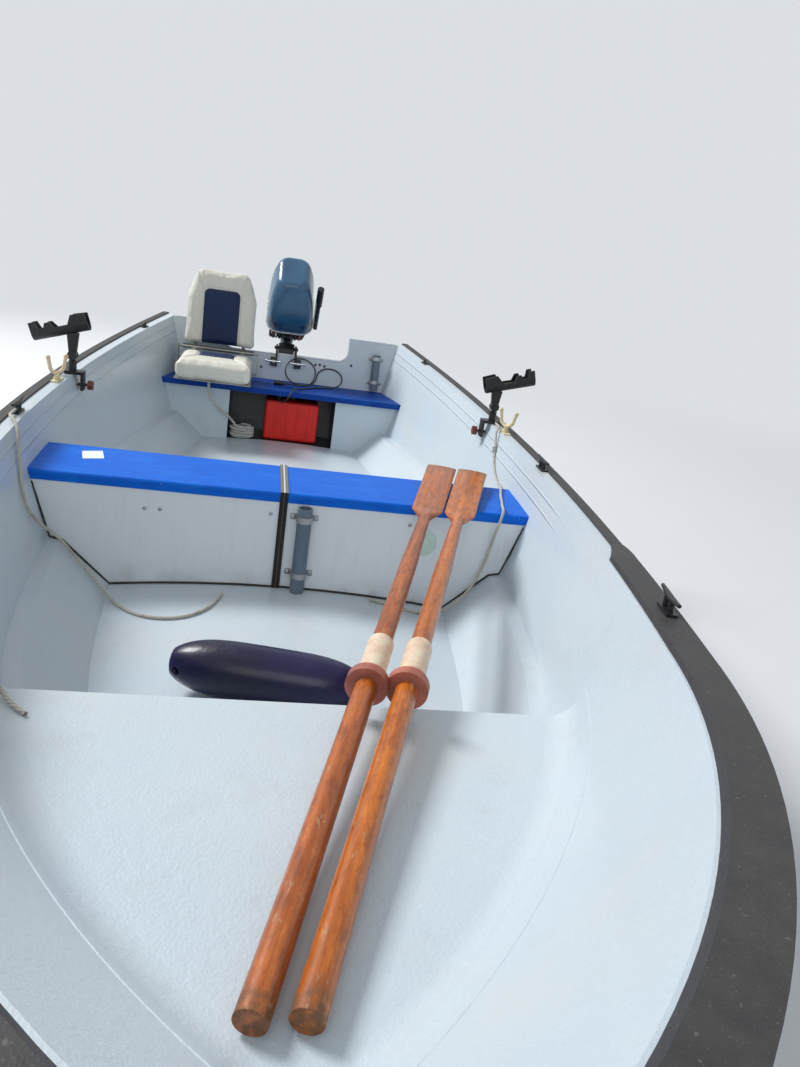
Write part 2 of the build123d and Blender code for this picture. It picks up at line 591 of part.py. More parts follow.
# Folding helm seat on two blocks: base with hinge ears, cushion, and a back on a hinge bar
SEAT_Y = -325.0
SEAT_WIDE = 365.0
SEAT_LONG = 380.0
SEAT_OVERHANG = 183.0           # cushion's front, forward of the thwart
BLOCK_OFFSETS = (-80.0, 60.0)   # the blocks' middles, across from the seat's
BLOCK_WIDE = 44.0
BLOCK_HIGH = 26.0
BASE_THICK = 4.0
BASE_INSET = 15.0
BASE_SHORT = 30.0
CUSHION_HIGH = 84.0
CUSHION_ROUND = 24.0
HINGE_RISE = 12.0               # hinge axis above the cushion
HINGE_R = 5.0
HINGE_GAP = 0.3
EAR_THICK = 4.0
EAR_CLEAR = 2.0
EAR_HALF = 27.0
BACK_HIGH = 375.0
BACK_THICK = 55.0
BACK_INSET = 6.0
BACK_DROP = 8.0                 # back pad's lower edge below the hinge axis
BACK_ROUND = 18.0
BACK_SHOULDER = 0.62            # where its sides start to close in
BACK_TAPER = 46.0
seat_front = STERN_THWART_X + SEAT_OVERHANG
seat_back = seat_front - SEAT_LONG
base_z = STERN_THWART_Z + BLOCK_HIGH
cushion_z = base_z + BASE_THICK + SEAT_GAP
hinge_x = seat_back + 4.0
hinge_z = cushion_z + CUSHION_HIGH + HINGE_RISE
seat_half = SEAT_WIDE / 2
seat_blocks = []
for offset in BLOCK_OFFSETS:
    y = SEAT_Y + offset
    seat_blocks.append(block(seat_back + 20, STERN_THWART_X - 10, y - BLOCK_WIDE / 2, y + BLOCK_WIDE / 2,
                             STERN_THWART_Z, base_z))
save("seat_blocks", *seat_blocks)
base = block(seat_back, seat_front - BASE_SHORT, SEAT_Y - seat_half + BASE_INSET,
             SEAT_Y + seat_half - BASE_INSET, base_z, base_z + BASE_THICK)
hinge_hole = rod_between((hinge_x, SEAT_Y - WIDE, hinge_z), (hinge_x, SEAT_Y + WIDE, hinge_z), HINGE_R + HINGE_GAP)
for way in (-1, 1):
    inner = SEAT_Y + way * (seat_half + EAR_CLEAR)
    outer = inner + way * EAR_THICK
    strap_in = SEAT_Y + way * (seat_half - BASE_INSET - 5)
    low_x = hinge_x - EAR_HALF + 9
    high_x = hinge_x + EAR_HALF + 9
    ear = block(low_x, high_x, inner, outer, base_z, hinge_z + 12)
    strap = block(low_x, high_x, strap_in, outer, base_z, base_z + BASE_THICK)
    base = base + (ear - hinge_hole) + strap
save("seat_base", base)
cushion = block(seat_back + 6, seat_front, SEAT_Y - seat_half + 2, SEAT_Y + seat_half - 2,
                cushion_z, cushion_z + CUSHION_HIGH)
cushion = cushion.fillet(CUSHION_ROUND, cushion.edges())
save("seat_cushion", cushion)
pad_half = seat_half - BACK_INSET
pad_top = hinge_z + BACK_HIGH
pad_shoulder = hinge_z + BACK_SHOULDER * BACK_HIGH
pad_points = [(-pad_half, hinge_z - BACK_DROP), (pad_half, hinge_z - BACK_DROP), (pad_half, pad_shoulder),
              (pad_half - BACK_TAPER, pad_top), (BACK_TAPER - pad_half, pad_top), (-pad_half, pad_shoulder)]
pad_x = hinge_x - BACK_DROP
back_pad = profile_across([(SEAT_Y + y, z) for y, z in pad_points], pad_x - BACK_THICK, pad_x)
save("seat_back_pad", back_pad.fillet(BACK_ROUND, back_pad.edges()))
RAIL_THICK = 4.0
RAIL_WIDE = 16.0
RAIL_OUT = 114.0                # rails' middles, across from the seat's
RAIL_LOW = 22.0                 # foot of the rails, below the hinge axis
RAIL_SHORT = 60.0
BAR_PROUD = 9.0
bar_half = seat_half + BAR_PROUD
back_frame = rod_between((hinge_x, SEAT_Y - bar_half, hinge_z), (hinge_x, SEAT_Y + bar_half, hinge_z), HINGE_R)
rail_x = pad_x - BACK_THICK - RAIL_THICK - SEAT_GAP
lug_half = 3.0
foot_z = hinge_z - RAIL_LOW
for way in (-1, 1):
    y0 = SEAT_Y + way * RAIL_OUT - RAIL_WIDE / 2
    y1 = y0 + RAIL_WIDE
    back_frame = back_frame + block(rail_x, rail_x + RAIL_THICK, y0, y1, foot_z, pad_top - RAIL_SHORT)
    back_frame = back_frame + block(rail_x, hinge_x + lug_half, y0, y1, foot_z, foot_z + 10)
    back_frame = back_frame + block(hinge_x - lug_half, hinge_x + lug_half, y0, y1, foot_z, hinge_z)
save("seat_back_frame", back_frame)

# Outboard motor, drawn in its own frame: origin at the middle of the notch's outer edge,
# leg upright. The clamp follows the transom's rake, and the rest tilts about a pin.
TILT_PIN = (-45.0, 20.0)        # behind and above the notch
TILT_PIN_R = 8.0
REST_TILT = 40.0
STEER_X = -82.0                 # steering axis behind the notch
STEER_R = 11.0
BEARING_GAP = 0.3
CHEEK_IN = 42.0                 # clamp's side plates, inner face
CHEEK_THICK = 10.0
CLAMP_LOW = -175.0
CLAMP_CAP = 16.0                # top of the clamp over the notch
CLAMP_BEHIND = 20.0
JAW_LOW = -70.0
JAW_DEEP = 16.0
CROSS_LOW_TALL = 25.0
motor_x = stern_x(NOTCH_Z)
pin = Vector(motor_x + TILT_PIN[0], 0, NOTCH_Z + TILT_PIN[1])
motor_at = Pos(motor_x, 0, NOTCH_Z)
tilted = Pos(*pin) * Rot(0, REST_TILT, 0) * Pos(-pin.X, 0, -pin.Z) * motor_at
jaw_x = TRANSOM_THICK + 2.0
jaw_end = jaw_x + JAW_DEEP
cheek_out = CHEEK_IN + CHEEK_THICK

SCREW_Y = 60.0
SCREW_Z = -46.0
SCREW_R = 6.0
SCREW_HEAD_R = 17.0
SCREW_HEAD_THICK = 5.0
BOSS_OUTER_R = 13.0
BOSS_DEEP = 24.0
SCREW_OUT = 62.0
HANDLE_HALF = 34.0
HANDLE_R = 5.0
clamp_points = [(-SEAT_GAP, CLAMP_LOW), (-SEAT_GAP, 1), (jaw_x, 1), (jaw_x, JAW_LOW), (jaw_end, JAW_LOW),
                (jaw_end, CLAMP_CAP), (-CLAMP_BEHIND, CLAMP_CAP), (-CLAMP_BEHIND, CLAMP_LOW)]
screw_hole = rod_between((jaw_x, SCREW_Y, SCREW_Z), (jaw_x + SCREW_OUT, SCREW_Y, SCREW_Z), SCREW_R + SEAT_GAP)
port_cheek = side_plate(clamp_points, CHEEK_IN, cheek_out)
port_cheek = port_cheek + block(jaw_x + SCREW_HEAD_THICK + 1, jaw_end, CHEEK_IN, SCREW_Y + 16,
                                SCREW_Z - 22, SCREW_Z + 22)
port_cheek = port_cheek + rod_between((jaw_x + SCREW_HEAD_THICK + 1, SCREW_Y, SCREW_Z),
                                      (jaw_x + BOSS_DEEP, SCREW_Y, SCREW_Z), BOSS_OUTER_R)
head_room = rod_between((jaw_x - 2, SCREW_Y, SCREW_Z), (jaw_x + SCREW_HEAD_THICK + 1, SCREW_Y, SCREW_Z),
                        SCREW_HEAD_R + 1)
port_cheek = port_cheek - screw_hole - head_room
EAR_OUTLINE = [(-62, 4), (-62, 36), (-4, 38), (-4, -20), (-24, -60)]
port_ear = side_plate(EAR_OUTLINE, CHEEK_IN, cheek_out)
raked = motor_at * Rot(0, -rake_angle, 0)
cross = block(-CLAMP_BEHIND, -SEAT_GAP, -CHEEK_IN, CHEEK_IN, CLAMP_LOW, CLAMP_LOW + CROSS_LOW_TALL)
pin_half = cheek_out + 8
bracket = raked * (port_cheek + mirrored(port_cheek) + cross) + motor_at * (port_ear + mirrored(port_ear))
bracket = bracket + rod_between((pin.X, -pin_half, pin.Z), (pin.X, pin_half, pin.Z), TILT_PIN_R)
save("outboard_clamp", bracket - transom)
screw_head_x = jaw_x - 1.7
clamp_screw = rod_between((screw_head_x, SCREW_Y, SCREW_Z), (jaw_x + SCREW_OUT, SCREW_Y, SCREW_Z), SCREW_R)
clamp_screw = clamp_screw + rod_between((screw_head_x, SCREW_Y, SCREW_Z),
                                        (screw_head_x + SCREW_HEAD_THICK, SCREW_Y, SCREW_Z), SCREW_HEAD_R)
handle_x = jaw_x + SCREW_OUT - 3
clamp_screw = clamp_screw + rod_between((handle_x, SCREW_Y - HANDLE_HALF, SCREW_Z),
                                        (handle_x, SCREW_Y + HANDLE_HALF, SCREW_Z), HANDLE_R)
for way in (-1, 1):
    clamp_screw = clamp_screw + Pos(handle_x, SCREW_Y + way * HANDLE_HALF, SCREW_Z) * Sphere(HANDLE_R + 1.5)
save("clamp_screws", raked * clamp_screw, raked * mirrored(clamp_screw))

# Swivel bracket: a block on the tilt pin with the steering tube behind it
SWIVEL_HALF = CHEEK_IN - 3.0
STEER_TUBE_R = 24.0
STEER_TUBE_LOW = -140.0
STEER_TUBE_TOP = 40.0
WEB_HALF = 14.0
SWIVEL_OUTLINE = [(-64, 0), (-64, 38), (-26, 38), (-26, 2), (-40, -30), (-64, -30)]
swivel = side_plate(SWIVEL_OUTLINE, -SWIVEL_HALF, SWIVEL_HALF)
swivel = swivel + rod_between((STEER_X, 0, STEER_TUBE_LOW), (STEER_X, 0, STEER_TUBE_TOP), STEER_TUBE_R)
swivel = swivel + block(STEER_X, -55, -WEB_HALF, WEB_HALF, STEER_TUBE_LOW + 10, 20)
swivel = swivel - rod_between((STEER_X, 0, -HIGH), (STEER_X, 0, HIGH), STEER_R + BEARING_GAP)
swivel = swivel - rod_between((TILT_PIN[0], -WIDE, TILT_PIN[1]), (TILT_PIN[0], WIDE, TILT_PIN[1]),
                              TILT_PIN_R + BEARING_GAP)
save("outboard_swivel", tilted * swivel)

# Leg: steering shaft, two arms, the drive shaft housing, plate, gear case and skeg
PAN_Z = 80.0
LEG_X = -168.0
LEG_LOW = -390.0
LEG_WAIST = -150.0
GEAR_Z = -470.0
GEAR_R = 34.0
GEAR_FORE = 105.0
GEAR_AFT = -120.0
GEAR_END_R = 25.0
SKEG_Z = -560.0
ARM_PAST = 50.0
UPPER_ARM = (42.0, 18.0, 50.0)      # height of its underside, thickness, width
LOWER_ARM = (-158.0, 16.0, 42.0)
# Slots of the housing: height, fore and aft length, width
HOUSING = ((LEG_LOW, 110.0, 34.0), (LEG_WAIST, 104.0, 46.0), (PAN_Z - 1.0, 116.0, 80.0))
SKEG = ((SKEG_Z, 46.0, 7.0), (GEAR_Z, 100.0, 16.0), (LEG_LOW + 2.0, 112.0, 32.0))
VENT_LONG = 240.0
VENT_WIDE = 110.0
VENT_THICK = 6.0
leg = loft([Pos(LEG_X, 0, z) * SlotOverall(long, wide) for z, long, wide in HOUSING], ruled=True)
leg = leg + loft([Pos(LEG_X, 0, z) * SlotOverall(long, wide) for z, long, wide in SKEG], ruled=True)
arm_long = STEER_X - LEG_X + ARM_PAST
for z, thick, wide in (UPPER_ARM, LOWER_ARM):
    leg = leg + Pos((LEG_X + STEER_X) / 2, 0, z) * extrude(SlotOverall(arm_long, wide), thick)
leg = leg + rod_between((STEER_X, 0, LOWER_ARM[0]), (STEER_X, 0, UPPER_ARM[0] + UPPER_ARM[1] - 2), STEER_R)
leg = leg + Pos(LEG_X - 10, 0, LEG_LOW) * extrude(SlotOverall(VENT_LONG, VENT_WIDE), VENT_THICK)
gear_profile = Plane.XZ * make_face([
    Line((GEAR_AFT, 0), (GEAR_FORE, 0)),
    ThreePointArc((GEAR_FORE, 0), (82, 22), (40, GEAR_R)),
    Line((40, GEAR_R), (-70, GEAR_R)),
    ThreePointArc((-70, GEAR_R), (-100, 31), (GEAR_AFT, GEAR_END_R)),
    Line((GEAR_AFT, GEAR_END_R), (GEAR_AFT, 0)),
])
leg = leg + Pos(LEG_X, 0, GEAR_Z) * revolve(gear_profile, Axis.X)
save("outboard_leg", tilted * leg)

# Propeller: a hub and three twisted blades on the shaft behind the gear case
HUB_R = 24.0
HUB_LONG = 62.0
HUB_TAPER = 4.0
PROP_GAP = 1.0
PROP_R = 95.0
BLADES = 3
# Blade sections: distance from the shaft, twist, chord, thickness
BLADE_SECTIONS = ((12.0, 42.0, 62.0, 7.0), (58.0, 60.0, 84.0, 5.0), (PROP_R - 2.0, 70.0, 44.0, 3.0))
prop_x = LEG_X + GEAR_AFT - PROP_GAP
hub = Plane(origin=(prop_x, 0, GEAR_Z), z_dir=(-1, 0, 0)) * extrude(Circle(HUB_R), HUB_LONG, taper=HUB_TAPER)
blade = loft([Pos(0, 0, out) * Rot(0, 0, twist) * SlotOverall(chord, thick)
              for out, twist, chord, thick in BLADE_SECTIONS])
propeller = hub
for turn in range(BLADES):
    propeller = propeller + Pos(prop_x - HUB_LONG / 2, 0, GEAR_Z) * Rot(turn * 360 / BLADES, 0, 0) * blade
save("propeller", tilted * propeller)

# Power head: lower pan, its pale seal, and the domed cowl with a raised rear deck
PAN_HIGH = 62.0
PAN_IN = (70.0, 76.0, 40.0)     # how much shorter and narrower its foot is, and its corner radius
PAN_AFT = 25.0
COWL_LONG = 300.0
COWL_WIDE = 222.0
COWL_X = -185.0
COWL_HIGH = 236.0
COWL_CORNER = 62.0
COWL_TOP_ROUND = 34.0
SEAL_THICK = 6.0
SEAL_PROUD = 2.0
# Cowl's sections: share of its height, how much shorter and narrower, shift aft, corner radius
COWL_SECTIONS = ((0.0, 0.0, 0.0, 0.0, 62.0), (0.36, 8.0, 8.0, 3.0, 62.0), (0.72, 46.0, 34.0, 16.0, 60.0),
                 (1.0, 104.0, 84.0, 30.0, 56.0))
seal_z = PAN_Z + PAN_HIGH
rim_z = seal_z + SEAL_THICK
pan_foot = RectangleRounded(COWL_LONG - PAN_IN[0], COWL_WIDE - PAN_IN[1], PAN_IN[2])
pan = loft([
    Pos(COWL_X - PAN_AFT, 0, PAN_Z) * pan_foot,
    Pos(COWL_X, 0, seal_z) * RectangleRounded(COWL_LONG - 6, COWL_WIDE - 6, COWL_CORNER - 3),
])
save("outboard_pan", tilted * pan)
seal_face = RectangleRounded(COWL_LONG + 2 * SEAL_PROUD, COWL_WIDE + 2 * SEAL_PROUD, COWL_CORNER + SEAL_PROUD)
save("outboard_seal", tilted * Pos(COWL_X, 0, seal_z) * extrude(seal_face, SEAL_THICK))
cowl = loft([
    Pos(COWL_X - aft, 0, rim_z + share * COWL_HIGH) * RectangleRounded(COWL_LONG - short, COWL_WIDE - narrow, corner)
    for share, short, narrow, aft, corner in COWL_SECTIONS
])
cowl = cowl.fillet(COWL_TOP_ROUND, cowl.edges().group_by(Axis.Z)[-1])
save("outboard_cowl", tilted * cowl)

# Tiller folded up beside the cowl: a pivot boss, an arm and a grip
TILLER_X = -130.0
TILLER_Y = 133.0
TILLER_Z = PAN_Z + 30.0
TILLER_ARM = (34.0, 20.0, 8.0)      # section of the arm and its corner radius
TILLER_ARM_LONG = 150.0
GRIP_R = 16.0
GRIP_LONG = 110.0
BOSS_PIVOT_R = 13.0
tiller = rod_between((TILLER_X, COWL_WIDE / 2 - 40, TILLER_Z + 14), (TILLER_X, TILLER_Y + 8, TILLER_Z + 14),
                     BOSS_PIVOT_R) - pan
arm_section = RectangleRounded(*TILLER_ARM)
tiller = tiller + Pos(TILLER_X, TILLER_Y, TILLER_Z) * extrude(arm_section, TILLER_ARM_LONG)
tiller = tiller + Pos(TILLER_X, TILLER_Y, TILLER_Z + TILLER_ARM_LONG) * extrude(Circle(GRIP_R), GRIP_LONG)
save("outboard_tiller", tilted * tiller)

# Small controls on the pan's face: the starter's grip, two knobs and the carrying handle
GRIP_Z = PAN_Z + 44.0
control_face = COWL_X + COWL_LONG / 2 - 6.0
CONTROLS = ((-44.0, 7.0, 22.0), (44.0, 9.0, 16.0))     # place across, radius, length
starter = block(control_face, control_face + 14, -26, 26, GRIP_Z - 8, GRIP_Z + 8)
starter = starter + rod_between((control_face - 30, 0, GRIP_Z), (control_face + 2, 0, GRIP_Z), 5)
controls = [starter - pan]
for y, radius, long in CONTROLS:
    knob = rod_between((control_face - 30, y, GRIP_Z), (control_face + long, y, GRIP_Z), radius)
    controls.append(knob - pan)
save("outboard_controls", *[tilted * piece for piece in controls])

# Fuel tank under the stern thwart: ribbed can, cap, and the hose's tail piece
TANK_X = -1700.0
TANK_DEEP = 170.0
TANK_Y = (-80.0, 175.0)
TANK_HIGH = 190.0
TANK_ROUND = 14.0
RIB_GROOVE = (7.0, 3.0)         # width and depth
RIB_COUNT = 4
CAP_R = 26.0
CAP_HIGH = 14.0
TAIL_X = TANK_X - 38.0
TAIL_Y = -20.0
TAIL_R = 10.0
TAIL_HIGH = 20.0
TAIL_LONG = 32.0
NOZZLE_R = 4.5
tank_z = SOLE_EDGE_Z + SOLE_CROWN + SEAT_GAP
tank_top = tank_z + TANK_HIGH
tank = block(TANK_X - TANK_DEEP, TANK_X, TANK_Y[0], TANK_Y[1], tank_z, tank_top)
tank = tank.fillet(TANK_ROUND, tank.edges())
rib_step = (TANK_Y[1] - TANK_Y[0]) / (RIB_COUNT + 1)
for count in range(RIB_COUNT):
    y = TANK_Y[0] + rib_step * (count + 1)
    for face_x in (TANK_X, TANK_X - TANK_DEEP):
        tank = tank - block(face_x - RIB_GROOVE[1], face_x + RIB_GROOVE[1], y - RIB_GROOVE[0] / 2,
                            y + RIB_GROOVE[0] / 2, tank_z + 24, tank_top - 24)
save("fuel_tank", tank)
cap = Pos(TANK_X - 0.6 * TANK_DEEP, (TANK_Y[0] + TANK_Y[1]) / 2, tank_top + SEAT_GAP) * extrude(Circle(CAP_R), CAP_HIGH)
nozzle_z = tank_top + 12.2
tail = Pos(TAIL_X, TAIL_Y, tank_top + SEAT_GAP) * extrude(Circle(TAIL_R), TAIL_HIGH)
tail = tail + rod_between((TAIL_X, TAIL_Y, nozzle_z), (TAIL_X + TAIL_LONG, TAIL_Y, nozzle_z), NOZZLE_R)
save("fuel_cap", cap, tail)

# Fender lying on the sole behind the oars, with an eye at each end
FENDER_R = 62.0
FENDER_LONG = 420.0
FENDER_X = 690.0
FENDER_Y = -40.0
FENDER_TURN = 78.0
FENDER_END_R = 22.0
FENDER_EYE_R = 9.0
FENDER_EYE_IN = 20.0
end_x = FENDER_LONG / 2
flat_x = 0.3 * FENDER_LONG
round_x = 0.42 * FENDER_LONG
round_r = 0.79 * FENDER_R
fender_half = make_face([
    Line((-end_x, 0), (end_x, 0)),
    Line((end_x, 0), (end_x, FENDER_END_R)),
    ThreePointArc((end_x, FENDER_END_R), (round_x, round_r), (flat_x, FENDER_R)),
    Line((flat_x, FENDER_R), (-flat_x, FENDER_R)),
    ThreePointArc((-flat_x, FENDER_R), (-round_x, round_r), (-end_x, FENDER_END_R)),
    Line((-end_x, FENDER_END_R), (-end_x, 0)),
])
fender = revolve(fender_half, Axis.X)
for way in (-1, 1):
    eye_x_local = way * (end_x - FENDER_EYE_IN)
    fender = fender - rod_between((eye_x_local, -FENDER_R, 0), (eye_x_local, FENDER_R, 0), FENDER_EYE_R)
fender_z = sole_z(0) + FENDER_R + SEAT_GAP
save("fender", Pos(FENDER_X, FENDER_Y, fender_z) * Rot(0, 0, FENDER_TURN) * fender)

# Oars laid from the bow platform to the centre thwart, handles forward
OAR_LONG = 1920.0
OAR_SHAFT_R = 20.0
OAR_NECK_R = 15.0
OAR_TAPER_LONG = 300.0
BLADE_LONG = 400.0
BLADE_WIDE = 92.0
BLADE_THICK = 9.0
BLADE_ROOT_LONG = 60.0
SLEEVE_FROM = 650.0
SLEEVE_LONG = 130.0
SLEEVE_R = 25.0
FLANGE_R = 38.0
FLANGE_LONG = 20.0
HANDLE_LIFT = 0.4
NECK_LIFT = 0.6
# Node, the handle's end, and a point under the blade's tip
OARS = (
    ("oar_starboard", (1600.0, -62.0), (-215.0, 470.0)),
    ("oar_port", (1600.0, -4.0), (-290.0, 595.0)),
)
oar_handle_z = PLATFORM_Z + OAR_SHAFT_R + HANDLE_LIFT
oar_neck_z = THWART_Z + OAR_NECK_R + NECK_LIFT


def oar_frame(handle, tip):
    """A frame at the handle's end whose Z runs down the oar to the blade."""
    way = Vector(tip[0] - handle[0], tip[1] - handle[1], 0).normalized()
    to_thwart = (THWART_X - handle[0]) / way.X
    down = Vector(way.X, way.Y, (oar_neck_z - oar_handle_z) / to_thwart).normalized()
    across = Vector(-down.Y, down.X, 0).normalized()
    return Plane(origin=(handle[0], handle[1], oar_handle_z), x_dir=across, z_dir=down)


def oar():
    """Shaft, neck and flat blade along Z, from the handle's end."""
    blade_from = OAR_LONG - BLADE_LONG
    neck_end = blade_from - BLADE_ROOT_LONG
    taper_from = neck_end - OAR_TAPER_LONG
    root = Ellipse(BLADE_WIDE * 0.46, BLADE_THICK * 0.8)
    body = extrude(Circle(OAR_SHAFT_R), taper_from)
    body = body + loft([Pos(0, 0, taper_from) * Circle(OAR_SHAFT_R), Pos(0, 0, neck_end) * Circle(OAR_NECK_R)])
    body = body + loft([Pos(0, 0, neck_end) * Circle(OAR_NECK_R), Pos(0, 0, blade_from) * root])
    tip = Pos(0, 0, OAR_LONG) * Ellipse(BLADE_WIDE / 2, BLADE_THICK / 2)
    return body + loft([Pos(0, 0, blade_from) * root, tip])


def sleeve():
    """The plastic sleeve with its flange on the handle side."""
    tube = Pos(0, 0, SLEEVE_FROM) * extrude(Circle(SLEEVE_R), SLEEVE_LONG)
    ring = Pos(0, 0, SLEEVE_FROM) * extrude(Circle(FLANGE_R), -FLANGE_LONG)
    return tube + ring - extrude(Circle(OAR_SHAFT_R), OAR_LONG)


sleeves = []
for node, handle, tip in OARS:
    frame = oar_frame(handle, tip)
    save(node, frame * oar())
    sleeves.append(frame * sleeve())
save("oar_collars", *sleeves)

# Ropes and the hose that lie free: straight runs joined by arcs as large as the runs allow
ROPE = 8.0
LINE = 12.0
HOSE = 7.0
ARC_SHARE = 0.45


def cord(node, diameter, points):
    """A tube along a route of hand-chosen points. It prints its tightest arcs and its volume's share."""
    corners = [Vector(*point) for point in points]
    runs = [after - before for before, after in zip(corners, corners[1:])]
    radii = []
    for before, after in zip(runs, runs[1:]):
        half_turn = math.radians(before.get_angle(after)) / 2
        radii.append(ARC_SHARE * min(before.length, after.length) / math.tan(half_turn))
    path = FilletPolyline(*corners, radius=radii)
    section = Plane(origin=path @ 0, z_dir=path % 0) * Circle(diameter / 2)
    tube = sweep(section, path=path)
    share = tube.volume / (math.pi * diameter**2 / 4 * path.length)
    print(node, "length", round(path.length), "volume share", round(share, 4))
    print("  radii", [round(radius) for radius in radii])
    save(node, tube)
    return tube


# From the starboard cleat over the gunwale, down the side and across the sole
cord("rope_starboard", ROPE, [
    (-58.8, -745, 503), (-28, -746, 500), (6, -742, 503), (42, -728, 507), (77, -706, 500), (104, -693, 474),
    (130, -686, 440), (165, -673, 404), (200, -659, 366), (207, -647, 328), (184, -636, 290), (146, -628, 258),
    (110, -620, 234), (107, -588, 206), (120, -559, 180), (136, -499, 119), (184, -450, 84), (258, -399, 89),
    (299, -347, 94.2), (311, -294, 98.6), (298, -240, 102.3), (251, -196, 104.8), (202, -177, 105.7),
    (152, -163, 106.3),
])

# From the port rod holder over the gunwale and the centre thwart, down to the sole
cord("rope_port", ROPE, [
    (-639.6, 744, 510), (-606, 744, 510), (-573, 740, 511.5), (-542, 727, 514), (-516, 714, 503), (-500, 714, 478),
    (-479, 711, 449), (-446, 702, 423), (-405, 695, 402), (-350, 689, 386), (-296, 684, 378), (-250, 676, 384),
    (-212, 668, 396), (-176, 660, 395), (-139, 652, 389.8), (-90, 637, 389.6), (-40, 629, 389.6),
    (8, 616, 389.8), (46, 608, 394), (78, 600, 400), (97, 594, 384), (96, 588, 352), (90, 583, 312),
    (87, 577, 266), (89, 565, 215), (97, 544, 162), (122, 502, 124), (126, 470, 95), (138, 430, 86.2),
    (152, 388, 90.4), (127, 318, 96.8), (105, 248, 101.8),
])

# From the starboard forward cleat down to the bow platform
cord("rope_bow", ROPE, [
    (985.3, -624.1, 531), (985.3, -604, 531), (981, -585, 520), (977, -574, 494), (972, -565, 458),
    (969, -556, 417), (966, -546, 375), (964, -533, 335), (963, -511, 300), (973, -483, 277),
    (1006, -460, 271), (1032, -429, 269.6),
])

# Pale line from under the helm seat down to its hank beside the fuel tank
HANK = (-1700.0, -181.0)
HANK_LONG = 122.0
HANK_WIDE = 76.0
HANK_HIGH = 68.0
HANK_ROUND = 24.0
hank_lean = math.degrees(math.asin(-HANK[1] / sole_radius))
hank = extrude(Rot(0, 0, 90) * SlotOverall(HANK_LONG, HANK_WIDE), HANK_HIGH)
hank = hank.fillet(HANK_ROUND, hank.edges().group_by(Axis.Z)[-1] + hank.edges().group_by(Axis.Z)[0])
save("anchor_hank", Pos(*HANK, sole_z(HANK[1]) + SEAT_GAP) * Rot(hank_lean, 0, 0) * hank)
cord("anchor_line", LINE, [
    (-1600, -345, base_z - 0.2), (-1600, -345, 342), (-1603, -337, 302), (-1616, -314, 264), (-1636, -284, 232),
    (-1662, -250, 208), (-1686, -222, 191), (-1696, -206, 172.3),
])

# Black hose from the tank round the thwart's edge, with two loops that lean on the transom
CONNECTOR_R = 9.0
CONNECTOR_LONG = 46.0
NIPPLE_R = 5.4
connector_z = STERN_THWART_Z + CONNECTOR_R + SEAT_GAP
cord("fuel_hose", HOSE, [
    (TAIL_X + TAIL_LONG + 0.2, TAIL_Y, nozzle_z), (-1676, TAIL_Y, nozzle_z), (-1643, -10, 303), (-1613, 6, 311),
    (-1601, 20, 336), (-1611, 32, 361), (-1640, 42, 374), (-1673, 52, 372), (-1706, 64, 361),
    (-1755, 92, 359.2), (-1806, 138, 359), (-1846, 190, 359), (-1862, 251, 361), (-1889, 287, 384),
    (-1928, 287, 418), (-1953, 251, 441), (-1953, 199, 441), (-1928, 162, 418), (-1893, 158, 384),
    (-1868, 134, 363), (-1853, 104, 360), (-1850, 46, 360), (-1876, 1, 394), (-1914, 1, 442), (-1939, 44, 476),
    (-1939, 106, 476), (-1912, 150, 442), (-1872, 150, 398), (-1838, 124, 363), (-1822, 84, 359.2),
    (-1810, 46, connector_z), (-1808, 12, connector_z),
])
connector = rod_between((-1808, -6, connector_z), (-1808, -6 - CONNECTOR_LONG, connector_z), CONNECTOR_R)
connector = connector + rod_between((-1808, 11.7, connector_z), (-1808, -8, connector_z), NIPPLE_R)
save("hose_connector", connector)
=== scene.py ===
import math

import bmesh
import bpy
from mathutils import Matrix, Vector


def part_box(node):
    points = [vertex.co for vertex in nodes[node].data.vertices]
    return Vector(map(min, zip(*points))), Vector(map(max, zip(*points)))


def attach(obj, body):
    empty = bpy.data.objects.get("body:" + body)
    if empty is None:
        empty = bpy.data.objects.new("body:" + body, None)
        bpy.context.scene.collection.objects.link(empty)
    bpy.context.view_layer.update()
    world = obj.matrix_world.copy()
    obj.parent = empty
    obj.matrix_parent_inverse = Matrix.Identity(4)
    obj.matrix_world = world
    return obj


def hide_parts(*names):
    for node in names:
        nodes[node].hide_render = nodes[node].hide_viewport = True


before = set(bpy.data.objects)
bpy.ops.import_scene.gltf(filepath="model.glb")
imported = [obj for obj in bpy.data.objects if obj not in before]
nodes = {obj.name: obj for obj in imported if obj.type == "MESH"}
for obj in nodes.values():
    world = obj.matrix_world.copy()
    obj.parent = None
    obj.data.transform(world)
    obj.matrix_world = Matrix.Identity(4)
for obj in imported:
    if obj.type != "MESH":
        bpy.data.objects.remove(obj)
scene = bpy.context.scene
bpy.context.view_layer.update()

# View: from a metre above the floor, ahead of the bow and a little to starboard, down and aft.
# The camera is rolled a few degrees, as a hand-held one is.


def show(name, data):
    """Put a mesh, curve, lamp or camera into the scene."""
    thing = bpy.data.objects.new(name, data)
    scene.collection.objects.link(thing)
    return thing


eye_place = Vector((2.2235, -0.1089, 1.0403))
eye_right = Vector((0.14232, 0.97910, 0.14531))
eye_up = Vector((-0.34083, -0.08935, 0.93587))
eye_back = Vector((0.92929, -0.18272, 0.32099))
lens_data = bpy.data.cameras.new("camera")
lens_data.sensor_fit = "HORIZONTAL"
lens_data.sensor_width = 36.0
lens_data.lens = 36.716
lens_data.clip_start = 0.02
eye = show("camera", lens_data)
eye.matrix_world = Matrix.Translation(eye_place) @ Matrix((eye_right, eye_up, eye_back)).transposed().to_4x4()
scene.camera = eye

# Hull, deck and lockers: glass-fibre mouldings in pale blue-grey gelcoat with a fine orange
# peel. The inside carries two low ribs under the gunwale, and faint brown stains.


